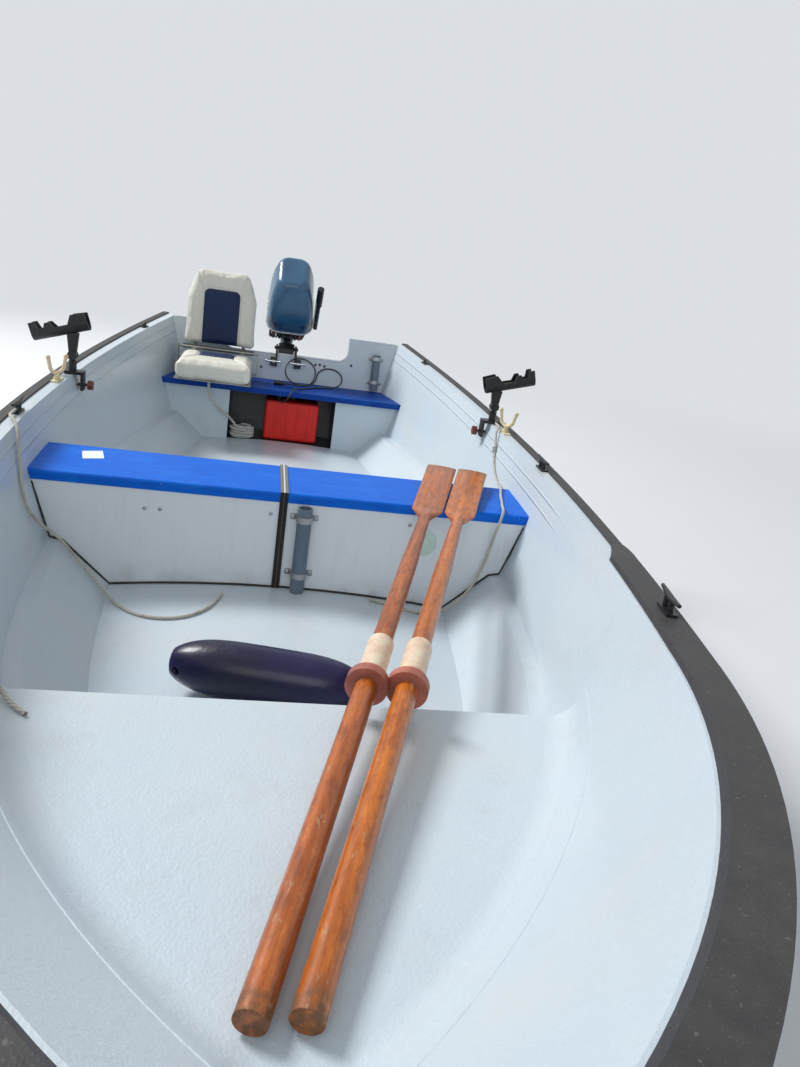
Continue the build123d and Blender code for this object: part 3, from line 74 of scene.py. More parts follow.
def colour(red, green, blue):
    """A colour given from 0 to 255, as the shader wants it."""
    linear = []
    for value in (red, green, blue):
        share = value / 255
        linear.append(share / 12.92 if share <= 0.04045 else ((share + 0.055) / 1.055) ** 2.4)
    return (*linear, 1.0)


class Wire:
    """One output of a shader node, so that sums on it read as sums."""

    def __init__(self, finish, socket):
        self.finish = finish
        self.socket = socket

    def maths(self, operation, first, second=0.0):
        return self.finish.node("Math", {"operation": operation}, {0: first, 1: second})

    def __add__(self, other):
        return self.maths("ADD", self, other)

    __radd__ = __add__

    def __sub__(self, other):
        return self.maths("SUBTRACT", self, other)

    def __rsub__(self, other):
        return self.maths("SUBTRACT", other, self)

    def __mul__(self, other):
        return self.maths("MULTIPLY", self, other)

    __rmul__ = __mul__

    def __truediv__(self, other):
        return self.maths("DIVIDE", self, other)

    def __pow__(self, other):
        return self.maths("POWER", self, other)

    def __abs__(self):
        return self.maths("ABSOLUTE", self)

    def least(self, other):
        return self.maths("MINIMUM", self, other)

    def most(self, other):
        return self.maths("MAXIMUM", self, other)

    def sine(self):
        return self.maths("SINE", self)

    def rise(self, low, high):
        """0 below low, 1 above high, and smooth between them."""
        return self.finish.node("MapRange", {"interpolation_type": "SMOOTHSTEP"}, {0: self, 1: low, 2: high})


class Finish:
    """A Principled material that is built one expression at a time."""

    def __init__(self, name, **fixed):
        self.material = bpy.data.materials.new(name)
        self.material.use_nodes = True
        self.tree = self.material.node_tree
        self.shader = self.tree.nodes["Principled BSDF"]
        for socket, value in fixed.items():
            self.shader.inputs[socket.replace("_", " ")].default_value = value
        self.at = self.node("TexCoord", out="Object")
        self.x, self.y, self.z = [self.node("SeparateXYZ", {}, {0: self.at}, out=axis) for axis in "XYZ"]

    def node(self, kind, settings=None, sockets=None, out=0):
        """Any node: its settings first, then the values or wires of its sockets."""
        made = self.tree.nodes.new("ShaderNode" + kind)
        for name, value in (settings or {}).items():
            setattr(made, name, value)
        for name, value in (sockets or {}).items():
            if isinstance(value, Wire):
                self.tree.links.new(value.socket, made.inputs[name])
            else:
                made.inputs[name].default_value = value
        return Wire(self, made.outputs[out])

    def noise(self, scale, detail, at=None, rough=0.55):
        """Soft spots, so many to the metre."""
        return self.node("TexNoise", {}, {"Vector": at or self.at, "Scale": scale, "Detail": detail,
                                          "Roughness": rough})

    def stretched(self, x, y, z):
        """The place in the piece, stretched along each axis."""
        return self.node("Mapping", {}, {"Vector": self.at, "Scale": (x, y, z)})

    def mix(self, share, first, second):
        """A colour between two others."""
        return self.node("Mix", {"data_type": "RGBA"}, {0: share, 6: first, 7: second}, out=2)

    def over(self, mask, shade):
        """Lay another shade over the base colour so far, where the mask is 1."""
        self.base = self.mix(mask, self.base, shade)

    def feed(self, **wires):
        """Join wires or values to the shader's sockets."""
        for socket, value in wires.items():
            target = self.shader.inputs[socket.replace("_", " ")]
            if isinstance(value, Wire):
                self.tree.links.new(value.socket, target)
            else:
                target.default_value = value
        return self

    def emboss(self, height, depth):
        """Raise the surface where height is 1, by a depth in metres."""
        return self.feed(Normal=self.node("Bump", {}, {"Strength": 1.0, "Distance": depth, "Height": height}))

    def cover(self, *names):
        """Give this finish to CAD pieces."""
        for name in names:
            nodes[name].data.materials.clear()
            nodes[name].data.materials.append(self.material)
        return self


gelcoat_shade = colour(202, 213, 220)
stain_shade = colour(158, 142, 122)
scuff_shade = colour(128, 138, 146)
bead_drops = (0.033, 0.066)
bead_half = 0.0045
bead_end = 0.45
bead_fade = 0.35
recess_half = 0.2515
recess_front = -1.6795
recess_top = 0.332
recess_edge = 0.001
transom_rake = 0.16
transom_skin = 1.912
sheer_x = 0.129
sheer_z = 0.490
sheer_bend = 41.2


def gelcoat(name, stain, bead=False, worn=False, recess=False):
    """Gelcoat with a share of stains, the two ribs of the side, and painted shade in the recess astern."""
    coat = Finish(name, Coat_Weight=0.3, Coat_Roughness=0.12)
    cloud = coat.noise(2.2, 5.0)
    blotch = coat.noise(7.0, 8.0, rough=0.68).rise(0.54, 0.76)
    speck = coat.noise(260.0, 2.0)
    dust_film = coat.noise(3.1, 7.0, rough=0.62).rise(0.48, 0.72)
    coat.base = coat.mix(cloud.rise(0.3, 0.7) * 0.5, gelcoat_shade, colour(190, 205, 217))
    coat.over(dust_film * 0.4, colour(206, 206, 200))
    coat.over(blotch * stain, stain_shade)
    coat.over(speck.rise(0.62, 0.75) * 0.18, colour(214, 224, 232))
    scratch = coat.noise(90.0, 3.0, at=coat.stretched(0.25, 2.0, 2.0)).rise(0.70, 0.76)
    coat.over(scratch * 0.12, scuff_shade)
    if worn:
        foot = 1 - coat.z.rise(0.0, 0.10)
        coat.over(foot * coat.noise(14.0, 6.0).rise(0.35, 0.65) * 0.5, scuff_shade)
    if recess:
        # Inside the recess under the stern thwart the gelcoat is painted near-black, as shade.
        inside = 1 - abs(coat.y).rise(recess_half, recess_half + recess_edge)
        inside = inside * (1 - coat.x.rise(recess_front - recess_edge, recess_front))
        inside = inside * (1 - coat.z.rise(recess_top, recess_top + recess_edge))
        inside = inside * (coat.x + coat.z * transom_rake).rise(-transom_skin, 2 * recess_edge - transom_skin)
        recess_painted_shade = coat.mix(blotch, colour(26, 29, 36), colour(44, 48, 56))
        coat.over(inside, recess_painted_shade)
    coat.feed(Base_Color=coat.base, Roughness=0.30 + coat.noise(9.0, 4.0) * 0.16 + blotch * 0.12)
    peel = coat.noise(210.0, 3.0) * 0.5 + coat.noise(70.0, 2.0) * 0.5
    if not bead:
        return coat.emboss(peel, 0.0016)
    drop = sheer_z + (coat.x - sheer_x) ** 2 / sheer_bend - coat.z
    ribs = sum((1 - abs(drop - place) / bead_half).most(0.0) for place in bead_drops)
    ribs = ribs * (1 - coat.x.rise(bead_end - bead_fade, bead_end))
    return coat.emboss(peel * 0.0016 + ribs.rise(0.0, 1.0) * 0.0025, 1.0)


gelcoat("gelcoat side", 0.14, bead=True, worn=True).cover("hull_shell")
gelcoat("gelcoat deck", 0.20).cover("bow_platform", "gunwale_flange")
gelcoat("gelcoat floor", 0.22, recess=True).cover("sole", "bow_bulkhead", "stern_lockers")
gelcoat("gelcoat stern", 0.12, recess=True).cover("transom")
gelcoat("gelcoat bottom", 0.3, worn=True).cover("keel", "bilge_runners")

# Gunwale rubber: a wide black extrusion round the bow and a thin one down each side. Dust greys it and sits
# in its pores, fine scratches run along it, and faces that don't look up are painted darker, as shade.
rubber = Finish("weathered rubber", Specular_IOR_Level=0.4)
dust = rubber.noise(22.0, 8.0, rough=0.62).rise(0.30, 0.85)
pores = rubber.noise(420.0, 3.0)
nicks = rubber.noise(60.0, 3.0, at=rubber.stretched(2.0, 2.0, 14.0)).rise(0.66, 0.72)
facing = rubber.node("SeparateXYZ", {}, {0: rubber.node("TexCoord", out="Normal")}, out="Z")
rubber.base = rubber.mix(dust * 0.7, colour(50, 49, 50), colour(80, 78, 76))
# Painted shade: the faces that don't look up are darkened to a bluish black.
rubber.over((1 - facing.rise(0.55, 0.97)) * 0.55, colour(44, 47, 54))
rubber.over(pores.rise(0.6, 0.75) * 0.5, colour(110, 110, 110))
rubber.over(nicks * 0.35, colour(128, 128, 126))
rubber.feed(Base_Color=rubber.base, Roughness=0.52 + dust * 0.25)
rubber.emboss(pores * 0.6 + dust * 0.4, 0.0007)
rubber.cover("bow_strake", "side_trims")

# Thwarts: boards under thick bright blue paint. Brush marks run along them, sun and shoes have
# chalked the top in soft patches, and small scratches show the undercoat.


def blue_board(name, deep, bright, chalk):
    """Blue paint between two shades, chalked by a share on its top."""
    paint = Finish(name, Specular_IOR_Level=0.16)
    brush = paint.noise(26.0, 4.0, at=paint.stretched(6.0, 0.5, 6.0))
    patch = paint.noise(5.0, 6.0, rough=0.65)
    paint.base = paint.mix(brush.rise(0.3, 0.7) * 0.6, deep, bright)
    worn_top = paint.noise(11.0, 7.0, at=paint.stretched(1.6, 0.7, 1.0), rough=0.7).rise(0.48, 0.74)
    paint.over(worn_top * chalk, colour(40, 144, 238))
    paint.over(patch.rise(0.55, 0.8) * 0.25, colour(4, 72, 170))
    scratch = paint.noise(46.0, 5.0, at=paint.stretched(1.0, 4.0, 1.0)).rise(0.70, 0.75)
    paint.over(scratch * 0.45, colour(150, 190, 226))
    paint.feed(Base_Color=paint.base, Roughness=0.40 + brush * 0.14 + scratch * 0.2)
    return paint.emboss(brush * 0.7 + paint.noise(180.0, 2.0) * 0.3, 0.0010)


blue_board("blue paint middle", colour(0, 92, 204), colour(0, 114, 228), 0.32).cover("centre_thwart_lids")
# The stern thwart has the same blue as the middle one, painted darker, as shade.
blue_board("blue paint stern", colour(0, 54, 138), colour(2, 70, 162), 0.16).cover("stern_thwart")

# Thwart fronts: white painted boards, streaked, with dirt along the foot. A black moulded strip covers the
# joint between the two halves and runs on over the lids. Its top is dusty and painted lighter, as lit.
board_foot = 0.075
dirt_top = 0.17
white = Finish("white board", Coat_Weight=0.15, Coat_Roughness=0.25)
streak = white.noise(9.0, 6.0, at=white.stretched(1.0, 7.0, 0.8)).rise(0.5, 0.8)
low_dirt = (1 - white.z.rise(board_foot, dirt_top)) * white.noise(18.0, 5.0).rise(0.35, 0.75)
white.base = white.mix(streak * 0.20, colour(224, 230, 234), colour(186, 196, 204))
white.over(low_dirt * 0.45, colour(150, 150, 142))
white.feed(Base_Color=white.base, Roughness=0.36 + white.noise(30.0, 3.0) * 0.15)
white.emboss(white.noise(120.0, 3.0), 0.0005)
white.cover("centre_thwart_front", "centre_thwart_back")
strip = Finish("black strip", Specular_IOR_Level=0.4)
strip_middle = -0.020
strip_height = 0.3868
joint_half = 0.0014
strip_wear = strip.noise(70.0, 6.0, at=strip.stretched(1.0, 3.0, 1.0)).rise(0.5, 0.72)
strip_top = strip.z.rise(strip_height, strip_height + 0.0008)
strip.base = strip.mix(strip_wear * 0.4, colour(14, 14, 16), colour(60, 56, 52))
# Painted light: the top faces turn grey-brown, partly dust and partly the light that falls on them.
lit_and_dusty_top = strip.mix(strip_wear, colour(112, 112, 108), colour(140, 128, 112))
strip.over(strip_top, lit_and_dusty_top)
joint_line = 1 - abs(strip.y - strip_middle).rise(joint_half, joint_half + 0.001)
joint_shade = strip.mix(strip_top, colour(104, 84, 66), colour(226, 224, 216))
strip.over(joint_line * (0.55 + strip_top * 0.45), joint_shade)
strip.feed(Base_Color=strip.base, Roughness=0.42 + strip_wear * 0.2)
strip.emboss(strip.noise(220.0, 2.0) * 0.3 - joint_line, 0.0012)
strip.cover("centre_strip")

# Strake's start: the L-shaped rubber of the bow is cut away over a hand's length, until it is as
# thin as the trim of the side that it joins


def add_piece(name, data, finish, body):
    """Put a mesh or curve into the scene, riding on a CAD body."""
    if not data.materials:
        data.materials.append(finish.material)
    piece = show(name, data)
    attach(piece, body)
    return piece


def add_shape(name, shape, finish, body, smooth=False):
    """Put a finished bmesh into the scene as a piece."""
    data = bpy.data.meshes.new(name)
    shape.to_mesh(data)
    shape.free()
    if smooth:
        data.shade_smooth()
    return add_piece(name, data, finish, body)


def skin_over(shape, rings, closed=False):
    """Join rings of points with faces, and close the two ends or join them."""
    count = len(rings[0])
    for first, second in zip(rings, rings[1:] + rings[:1] if closed else rings[1:]):
        for step in range(count):
            after = (step + 1) % count
            shape.faces.new((first[step], first[after], second[after], second[step]))
    if not closed:
        shape.faces.new(rings[0])
        shape.faces.new(rings[-1])
    bmesh.ops.recalc_face_normals(shape, faces=shape.faces)


strake_start = 0.7002
taper_end = 0.600
strake_outline = ((0.6453, 0.4979), (0.6487, 0.5079), (0.7054, 0.5079), (0.7004, 0.4929), (0.6906, 0.4629),
                  (0.6858, 0.4479), (0.6716, 0.4479), (0.6797, 0.4729), (0.6879, 0.4979))
outline_low = Vector((0.6453, 0.4479))
outline_size = Vector((0.0601, 0.0600))
trim_low = Vector((0.6903, 0.4709))
trim_size = Vector((0.0289, 0.0300))
taper_steps = 10
taper_bulge = 0.012
for name, way in (("strake_taper_port", 1), ("strake_taper_starboard", -1)):
    taper_shape = bmesh.new()
    taper_rings = []
    for share in [step / taper_steps for step in range(taper_steps + 1)]:
        x = strake_start + (taper_end - strake_start) * share
        bulge = taper_bulge * share * (1 - share)
        ring = []
        for y, z in strake_outline:
            thin_y = trim_low.x + (y - outline_low.x) / outline_size.x * trim_size.x
            thin_z = trim_low.y + (z - outline_low.y) / outline_size.y * trim_size.y
            place = (x, way * (y + (thin_y - y) * share + bulge), z + (thin_z - z) * share)
            ring.append(taper_shape.verts.new(place))
        taper_rings.append(ring)
    skin_over(taper_shape, taper_rings)
    add_shape(name, taper_shape, rubber, "boat")

# Seal: a black rubber bead along the lower edge of the thwart's front and up both sides, pressed
# into the corner between the board and the hull's inside


def speckled(name, first, second, scale, detail, span, rough, rougher=0.0, share=1.0, fine=0.55, grain=None,
             **fixed):
    """Two shades mixed by soft spots. Span says where the spots start and are full; the second shade
    may be rougher. Grain is a fine relief: its scale, detail and depth."""
    finish = Finish(name, **fixed)
    spots = finish.noise(scale, detail, rough=fine)
    if span:
        spots = spots.rise(*span)
    finish.feed(Base_Color=finish.mix(spots * share, first, second),
                Roughness=rough + spots * rougher if rougher else rough)
    if grain:
        grain_scale, grain_detail, grain_depth = grain
        finish.emboss(finish.noise(grain_scale, grain_detail), grain_depth)
    return finish


def bent_bar(name, points, radius, smooth=True, closed=False):
    """A round bar, seam or bead through points in metres."""
    line = bpy.data.curves.new(name, "CURVE")
    line.dimensions = "3D"
    line.bevel_depth = radius
    line.bevel_resolution = 3
    line.resolution_u = 5
    line.use_fill_caps = True
    path = line.splines.new("NURBS" if smooth else "POLY")
    path.points.add(len(points) - 1)
    for point, place in zip(path.points, points):
        point.co = (*place, 1.0)
    path.use_cyclic_u = closed
    if smooth:
        path.order_u = 3
        path.use_endpoint_u = not closed
    return line


seal_rubber = speckled("seal rubber", colour(18, 18, 19), colour(46, 46, 46), scale=90.0, detail=3.0,
                       span=(0.4, 0.7), rough=0.6, grain=(300.0, 2.0, 0.0003))
seal_x = 0.0792
seal_r = 0.0028
seal_lift = 0.003
sole_edge = 0.0755
sole_crown = 0.030
sole_half = 0.48
sole_rise = [(y, sole_edge + sole_crown * (1 - (y / sole_half) ** 2))
             for y in (0.012, 0.12, 0.24, 0.36, 0.452)]
side_rise = [(0.4695, 0.080), (0.592, 0.196), (0.6245, 0.2035), (0.670, 0.352)]
for name, side, shift in (("seal_port", 1, -0.020), ("seal_starboard", -1, 0.020)):
    outline = [(seal_x, side * y + (shift if y < 0.02 else 0), z + seal_lift) for y, z in sole_rise]
    outline += [(seal_x, side * y, z) for y, z in side_rise]
    add_piece(name, bent_bar(name, outline, seal_r, smooth=False), seal_rubber, "boat")

# Straps and bolts of the thwart: galvanised steel, dull and clouded. The bolts have six-sided
# heads on washers, and the panels are held by low round heads.
steel = speckled("galvanised steel", colour(150, 154, 158), colour(186, 190, 192), scale=40.0, detail=5.0,
                 span=None, rough=0.38, rougher=0.22, grain=(210.0, 3.0, 0.0003), Metallic=0.85)
steel.cover("rod_tube_saddles", "bow_eye")


def full_turn(count):
    """So many angles, evenly round a circle."""
    return [2 * math.pi * step / count for step in range(count)]


def bolt_head(radius, height):
    """A six-sided head with a chamfered top on a thin washer, standing on Z = 0."""
    shape = bmesh.new()
    washer_r = radius * 1.5
    sixth = math.pi / 3
    rings = []
    for ring_r, z in ((washer_r, 0.0), (washer_r, height * 0.25), (radius * 1.1, height * 0.3),
                      (radius, height * 0.32), (radius, height * 0.85), (radius * 0.82, height)):
        ring = []
        for turn in full_turn(24):
            edge = ring_r
            if ring_r <= radius:
                edge = ring_r * math.cos(sixth / 2) / math.cos(turn % sixth - sixth / 2)
            ring.append(shape.verts.new((edge * math.cos(turn), edge * math.sin(turn), z)))
        rings.append(ring)
    skin_over(shape, rings)
    return shape


def round_head(radius, height):
    """A domed screw head on Z = 0."""
    shape = bmesh.new()
    bmesh.ops.create_uvsphere(shape, u_segments=20, v_segments=10, radius=radius)
    bmesh.ops.scale(shape, vec=(1, 1, height / radius), verts=shape.verts)
    bmesh.ops.bisect_plane(shape, geom=shape.verts[:] + shape.edges[:] + shape.faces[:], plane_co=(0, 0, 0),
                           plane_no=(0, 0, -1), clear_outer=True)
    return shape


def fasteners(name, shape, places, finish, body):
    """Copies of one head, each at a place and square to a direction, as one piece."""
    whole = bmesh.new()
    for place, facing in places:
        turn = Vector((0, 0, 1)).rotation_difference(Vector(facing)).to_matrix().to_4x4()
        copy = shape.copy()
        copy.transform(Matrix.Translation(Vector(place)) @ turn)
        part = bpy.data.meshes.new("part")
        copy.to_mesh(part)
        whole.from_mesh(part)
        copy.free()
    return add_shape(name, whole, finish, body, smooth=True)


front_face = 0.0775
tube_y = 0.040
strap_thick = 0.003
strap_bolt_out = 0.031
strap_heights = (0.1577, 0.3218)
panel_bolt_places = ((-0.385, 0.305), (-0.345, 0.306), (-0.052, 0.322), (0.338, 0.326))
strap_bolts = [((front_face + strap_thick, tube_y + side * strap_bolt_out, z), (1, 0, 0))
               for side in (-1, 1) for z in strap_heights]
fasteners("thwart_bolts", bolt_head(0.0052, 0.006), strap_bolts, steel, "boat")
panel_bolts = [((front_face, y, z), (1, 0, 0)) for y, z in panel_bolt_places]
fasteners("panel_bolts", round_head(0.006, 0.003), panel_bolts, steel, "boat")

# Sticker: a round plain vinyl disc, stuck on the port half of the thwart's front and faded to
# a green tint
sticker = speckled("faded vinyl", colour(206, 224, 214), colour(184, 210, 196), scale=26.0, detail=5.0,
                   span=(0.3, 0.7), rough=0.35)
sticker_r = 0.041
sticker_at = Vector((front_face + 0.0004, 0.383, 0.278))
disc = bmesh.new()
bmesh.ops.create_cone(disc, cap_ends=True, segments=64, radius1=sticker_r, radius2=sticker_r - 0.0003,
                      depth=0.0005)
disc.transform(Matrix.Translation(sticker_at) @ Matrix.Rotation(math.pi / 2, 4, "Y"))
add_shape("round_sticker", disc, sticker, "boat")

# Label: a small blank white paper label, a little greyed, stuck askew on the blue paint of the
# starboard lid
paper = speckled("label paper", colour(236, 240, 242), colour(204, 210, 214), scale=60.0, detail=4.0,
                 span=(0.4, 0.8), rough=0.45, share=0.4)
label_corners = ((-0.136, -0.590), (-0.159, -0.538), (-0.082, -0.520), (-0.060, -0.573))
lid_top = 0.3851
label_thick = 0.0007
label = bmesh.new()
skin_over(label, [[label.verts.new((x, y, z)) for x, y in label_corners]
                  for z in (lid_top, lid_top + label_thick)])
add_shape("blank_label", label, paper, "boat")

# Transom's edge: a thin white plastic channel pushed over the board, notch and all, and a few
# dark screw heads on its inner face
edge_trim = speckled("white edging", colour(232, 236, 238), colour(170, 174, 176), scale=40.0, detail=5.0,
                     span=(0.5, 0.75), rough=0.4, rougher=0.2, share=0.5, Coat_Weight=0.2)
stern_x = -1.930
transom_thick = 0.042
notch_half = 0.311
notch_z = 0.482
notch_bend = 0.050
wing_top = 0.600
wing_half = 0.545
edging_r = 0.0042


def on_transom(y, z, proud=0.0):
    """A place on the transom's inner face."""
    return (stern_x + transom_thick - transom_rake * z + proud, y, z)


for name, side in (("edging_port", 1), ("edging_starboard", -1)):
    line = [(0.0, notch_z)]
    for turn in [math.radians(step * 15) for step in range(7)]:
        line.append((side * (notch_half - notch_bend + notch_bend * math.sin(turn)),
                     notch_z + notch_bend - notch_bend * math.cos(turn)))
    line += [(side * notch_half, wing_top), (side * wing_half, wing_top)]
    channel = bent_bar(name, [on_transom(y, z, -0.001) for y, z in line], edging_r, smooth=False)
    add_piece(name, channel, edge_trim, "boat")
dark_steel = Finish("dark screws", Metallic=0.6)
screw_shade = dark_steel.mix(dark_steel.noise(200.0, 3.0), colour(52, 50, 48), colour(92, 88, 84))
dark_steel.feed(Base_Color=screw_shade, Roughness=0.4 + dark_steel.noise(90.0, 3.0) * 0.2)
screw_places = ((0.150, 0.452), (0.172, 0.455), (0.196, 0.450), (0.330, 0.470), (-0.090, 0.445),
                (-0.118, 0.410))
stern_tube_y = 0.453
stern_strap_heights = (0.3985, 0.515)
inward = (1, 0, transom_rake)
transom_screws = [(on_transom(y, z), inward) for y, z in screw_places]
fasteners("transom_screws", round_head(0.0065, 0.004), transom_screws, dark_steel, "boat")
pipe_strap_bolts = [(on_transom(stern_tube_y + side * strap_bolt_out, z, 0.0035), inward) for side in (-1, 1)
                    for z in stern_strap_heights]
fasteners("transom_bolts", bolt_head(0.0050, 0.0055), pipe_strap_bolts, steel, "boat")

# Rod tubes: lengths of grey plastic pipe, scuffed, one held to the thwart and one to the
# transom by the galvanised straps
pipe = Finish("grey pipe", Coat_Weight=0.1)
pipe_cloud = pipe.noise(22.0, 6.0, at=pipe.stretched(1.0, 1.0, 0.3))
pipe_shade = pipe.mix(pipe_cloud.rise(0.3, 0.8), colour(86, 102, 118), colour(112, 126, 138))
pipe.feed(Base_Color=pipe_shade, Roughness=0.42 + pipe_cloud * 0.15)
pipe.emboss(pipe.noise(130.0, 3.0), 0.0003)
pipe.cover("thwart_rod_tube", "transom_rod_tube")

# Cleats, eyes and rod holders: black glass-filled nylon, dull on its worn edges. The knobs of
# the holders' clamps are red-brown.
knob_half = 0.6825
knob_top = 0.506


def black_nylon(name, knobs=False):
    """Dusty black nylon, red-brown where the knobs of the clamps are."""
    nylon = Finish(name, Specular_IOR_Level=0.5)
    nylon_dust = nylon.noise(45.0, 6.0, rough=0.65).rise(0.5, 0.8)
    nylon.base = nylon.mix(nylon_dust * 0.7, colour(20, 20, 22), colour(66, 66, 66))
    if knobs:
        on_knob = 1 - abs(nylon.y).rise(knob_half, knob_half + 0.0005)
        on_knob = on_knob * (1 - nylon.z.rise(knob_top, knob_top + 0.002))
        nylon.over(on_knob, nylon.mix(nylon_dust, colour(98, 38, 26), colour(128, 66, 50)))
    nylon.feed(Base_Color=nylon.base, Roughness=0.38 + nylon_dust * 0.25)
    return nylon.emboss(nylon.noise(380.0, 2.0), 0.0003)


black_nylon("black nylon").cover("mooring_cleats", "stern_eyes", "rod_holder_cradles", "fuel_cap",
                                 "hose_connector", "outboard_controls")
black_nylon("clamp nylon", knobs=True).cover("rod_holder_clamps")

# Rowlocks and their sockets: moulded cream nylon, greyed by dirt. Each fork turns on a pin that
# stands in its socket on the gunwale.
cream = speckled("cream nylon", colour(222, 208, 170), colour(150, 132, 100), scale=38.0, detail=6.0,
                 span=(0.48, 0.78), rough=0.4, rougher=0.2, share=0.6, fine=0.65,
                 grain=(160.0, 3.0, 0.0004), Subsurface_Weight=0.1, Coat_Weight=0.1)
cream.cover("rowlock_port", "rowlock_starboard", "rowlock_sockets")

# Oars: varnished softwood. The grain runs down each oar, the varnish has browned and chipped on
# the blades, and hands have greyed the handle's end. The sleeves are faded red plastic.
handle_z = 0.2854
rest_x = 0.080
rest_z = 0.4006
blade_from = 1.44
blade_full = 1.56
blade_half = 0.046
tip_from = 1.84
blade_end = 1.915
grip_end = 0.045
# Each oar: its handle's end, its blade's tip, its place in the grain, and three varnish shades
oars = {
    "oar_starboard": ((1.600, -0.062), (-0.215, 0.470), 0.0,
                      colour(186, 98, 34), colour(130, 62, 20), colour(210, 126, 56)),
    "oar_port": ((1.600, -0.004), (-0.290, 0.595), 7.3,
                 colour(204, 112, 32), colour(150, 74, 18), colour(226, 142, 58)),
}
for name, (handle, tip, own_grain, amber, brown, pale) in oars.items():
    level = Vector((tip[0] - handle[0], tip[1] - handle[1], 0)).normalized()
    fall = (rest_z - handle_z) / ((rest_x - handle[0]) / level.x)
    along = Vector((level.x, level.y, fall)).normalized()
    across = Vector((-along.y, along.x, 0)).normalized()
    over = along.cross(across)
    wood = Finish("varnished wood " + name, Coat_Roughness=0.15, Specular_IOR_Level=0.35)
    local = wood.node("VectorMath", {"operation": "SUBTRACT"}, {0: wood.at, 1: (*handle, handle_z)})
    down, side, up = [wood.node("VectorMath", {"operation": "DOT_PRODUCT"}, {0: local, 1: axis}, out="Value")
                      for axis in (along, across, over)]

    def streaked(run, round_about, detail, rough):
        """Noise drawn out along the oar, with so many blotches a metre along and across it."""
        spot = wood.node("CombineXYZ", {}, {0: (down + own_grain) * run, 1: side * round_about,
                                            2: up * round_about})
        return wood.noise(1.0, detail, at=spot, rough=rough)

    rings = streaked(2.5, 60.0, 4.0, 0.6)
    fibres = streaked(12.0, 300.0, 5.0, 0.7)
    blotches = streaked(24.0, 70.0, 6.0, 0.7)
    wood.base = wood.mix(rings.rise(0.35, 0.65) * 0.7, amber, brown)
    wood.over(blotches.rise(0.48, 0.62) * 0.75, brown)
    wood.over((1 - blotches.rise(0.32, 0.44)) * 0.5, pale)
    wood.over(fibres.rise(0.50, 0.75) * 0.35, colour(96, 46, 14))
    blade = down.rise(blade_from, blade_full)
    facing_up = up.rise(0.001, 0.008)
    scuffs = streaked(30.0, 80.0, 6.0, 0.7).rise(0.59, 0.66) * facing_up
    wood.over(scuffs * (0.55 - blade * 0.2), colour(176, 156, 126))
    scrape = streaked(16.0, 34.0, 6.0, 0.7).rise(0.50, 0.66)
    wood.over(blade * scrape * 0.4, colour(216, 132, 68))
    edge = abs(side).rise(blade_half - 0.010, blade_half) * wood.noise(40.0, 4.0).rise(0.35, 0.6)
    wood.over(blade * edge * 0.7, colour(98, 58, 28))
    tip_wear = down.rise(tip_from, blade_end) * wood.noise(30.0, 5.0).rise(0.3, 0.55)
    wood.over(tip_wear * 0.6, colour(120, 84, 54))
    grip = (1 - down.rise(0.008, grip_end)) * wood.noise(70.0, 4.0).rise(0.25, 0.65)
    wood.over(grip * 0.8, colour(92, 74, 56))
    worn = (scuffs * 0.3 + blade * scrape * 0.25 + grip * 0.35).least(0.4)
    wood.feed(Base_Color=wood.base, Roughness=0.30 + worn + fibres * 0.1, Coat_Weight=0.42 - worn)
    wood.emboss(fibres * 0.4 + blotches * 0.6, 0.0006)
    wood.cover(name)
flange_from = 0.955
flange_full = 0.975
sleeve = Finish("faded red plastic", Subsurface_Weight=0.08, Coat_Weight=0.1)
sleeve_cloud = sleeve.noise(30.0, 6.0, rough=0.65)
sleeve.base = sleeve.mix(sleeve_cloud.rise(0.35, 0.7), colour(232, 212, 186), colour(216, 178, 154))
# The flange is dark red-brown, darkest towards the handle: partly a deeper red, partly painted shade on the
# face towards the handle.
flange_side = sleeve.x.rise(flange_from, flange_full)
flange_painted_shade = sleeve.mix(sleeve.noise(22.0, 5.0).rise(0.35, 0.65), colour(132, 50, 36), colour(176, 88, 70))
sleeve.over(flange_side * 0.9, flange_painted_shade)
sleeve.over(sleeve.noise(80.0, 5.0).rise(0.60, 0.74) * 0.4, colour(150, 118, 98))
sleeve.feed(Base_Color=sleeve.base, Roughness=0.48 + sleeve_cloud * 0.12)
sleeve.emboss(sleeve.noise(200.0, 3.0), 0.0004)
sleeve.cover("oar_collars")

# Fender: an inflated vinyl body in deep navy with a soft gloss, dusty and a little scuffed. It
# tapers to a flat nose at each end, where a rope eye with a raised lip goes through.
vinyl = Finish("navy vinyl", Coat_Weight=0.12, Coat_Roughness=0.16, Specular_IOR_Level=0.35)
vinyl_dust = vinyl.noise(14.0, 7.0, rough=0.7).rise(0.5, 0.82)
vinyl.base = vinyl.mix(vinyl.noise(5.0, 5.0).rise(0.35, 0.65), colour(10, 9, 40), colour(22, 16, 66))
vinyl.over(vinyl_dust * 0.16, colour(96, 84, 128))
vinyl.feed(Base_Color=vinyl.base, Roughness=0.32 + vinyl_dust * 0.3)
vinyl.emboss(vinyl.noise(90.0, 2.0), 0.0006)
fender_low, fender_high = [Vector(corner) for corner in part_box("fender")]
fender_turn = math.radians(78.0)
fender_half = 0.2095
fender_r = 0.0618
nose_r = 0.021
eye_x = fender_half - 0.024
eye_r = 0.0085
lip_r = 0.0098
lip_thick = 0.0019
fender_at = Matrix.Translation((fender_low + fender_high) / 2) @ Matrix.Rotation(fender_turn, 4, "Z")


def fender_radius(share):
    """Half thickness at a share of the way from the middle to an end."""
    body = nose_r + (fender_r - nose_r) * math.cos(math.pi / 2 * share ** 2.1) ** 0.72
    return body * min(1.0, ((1.0 - share) / 0.03) ** 0.5 * 0.75 + 0.25)


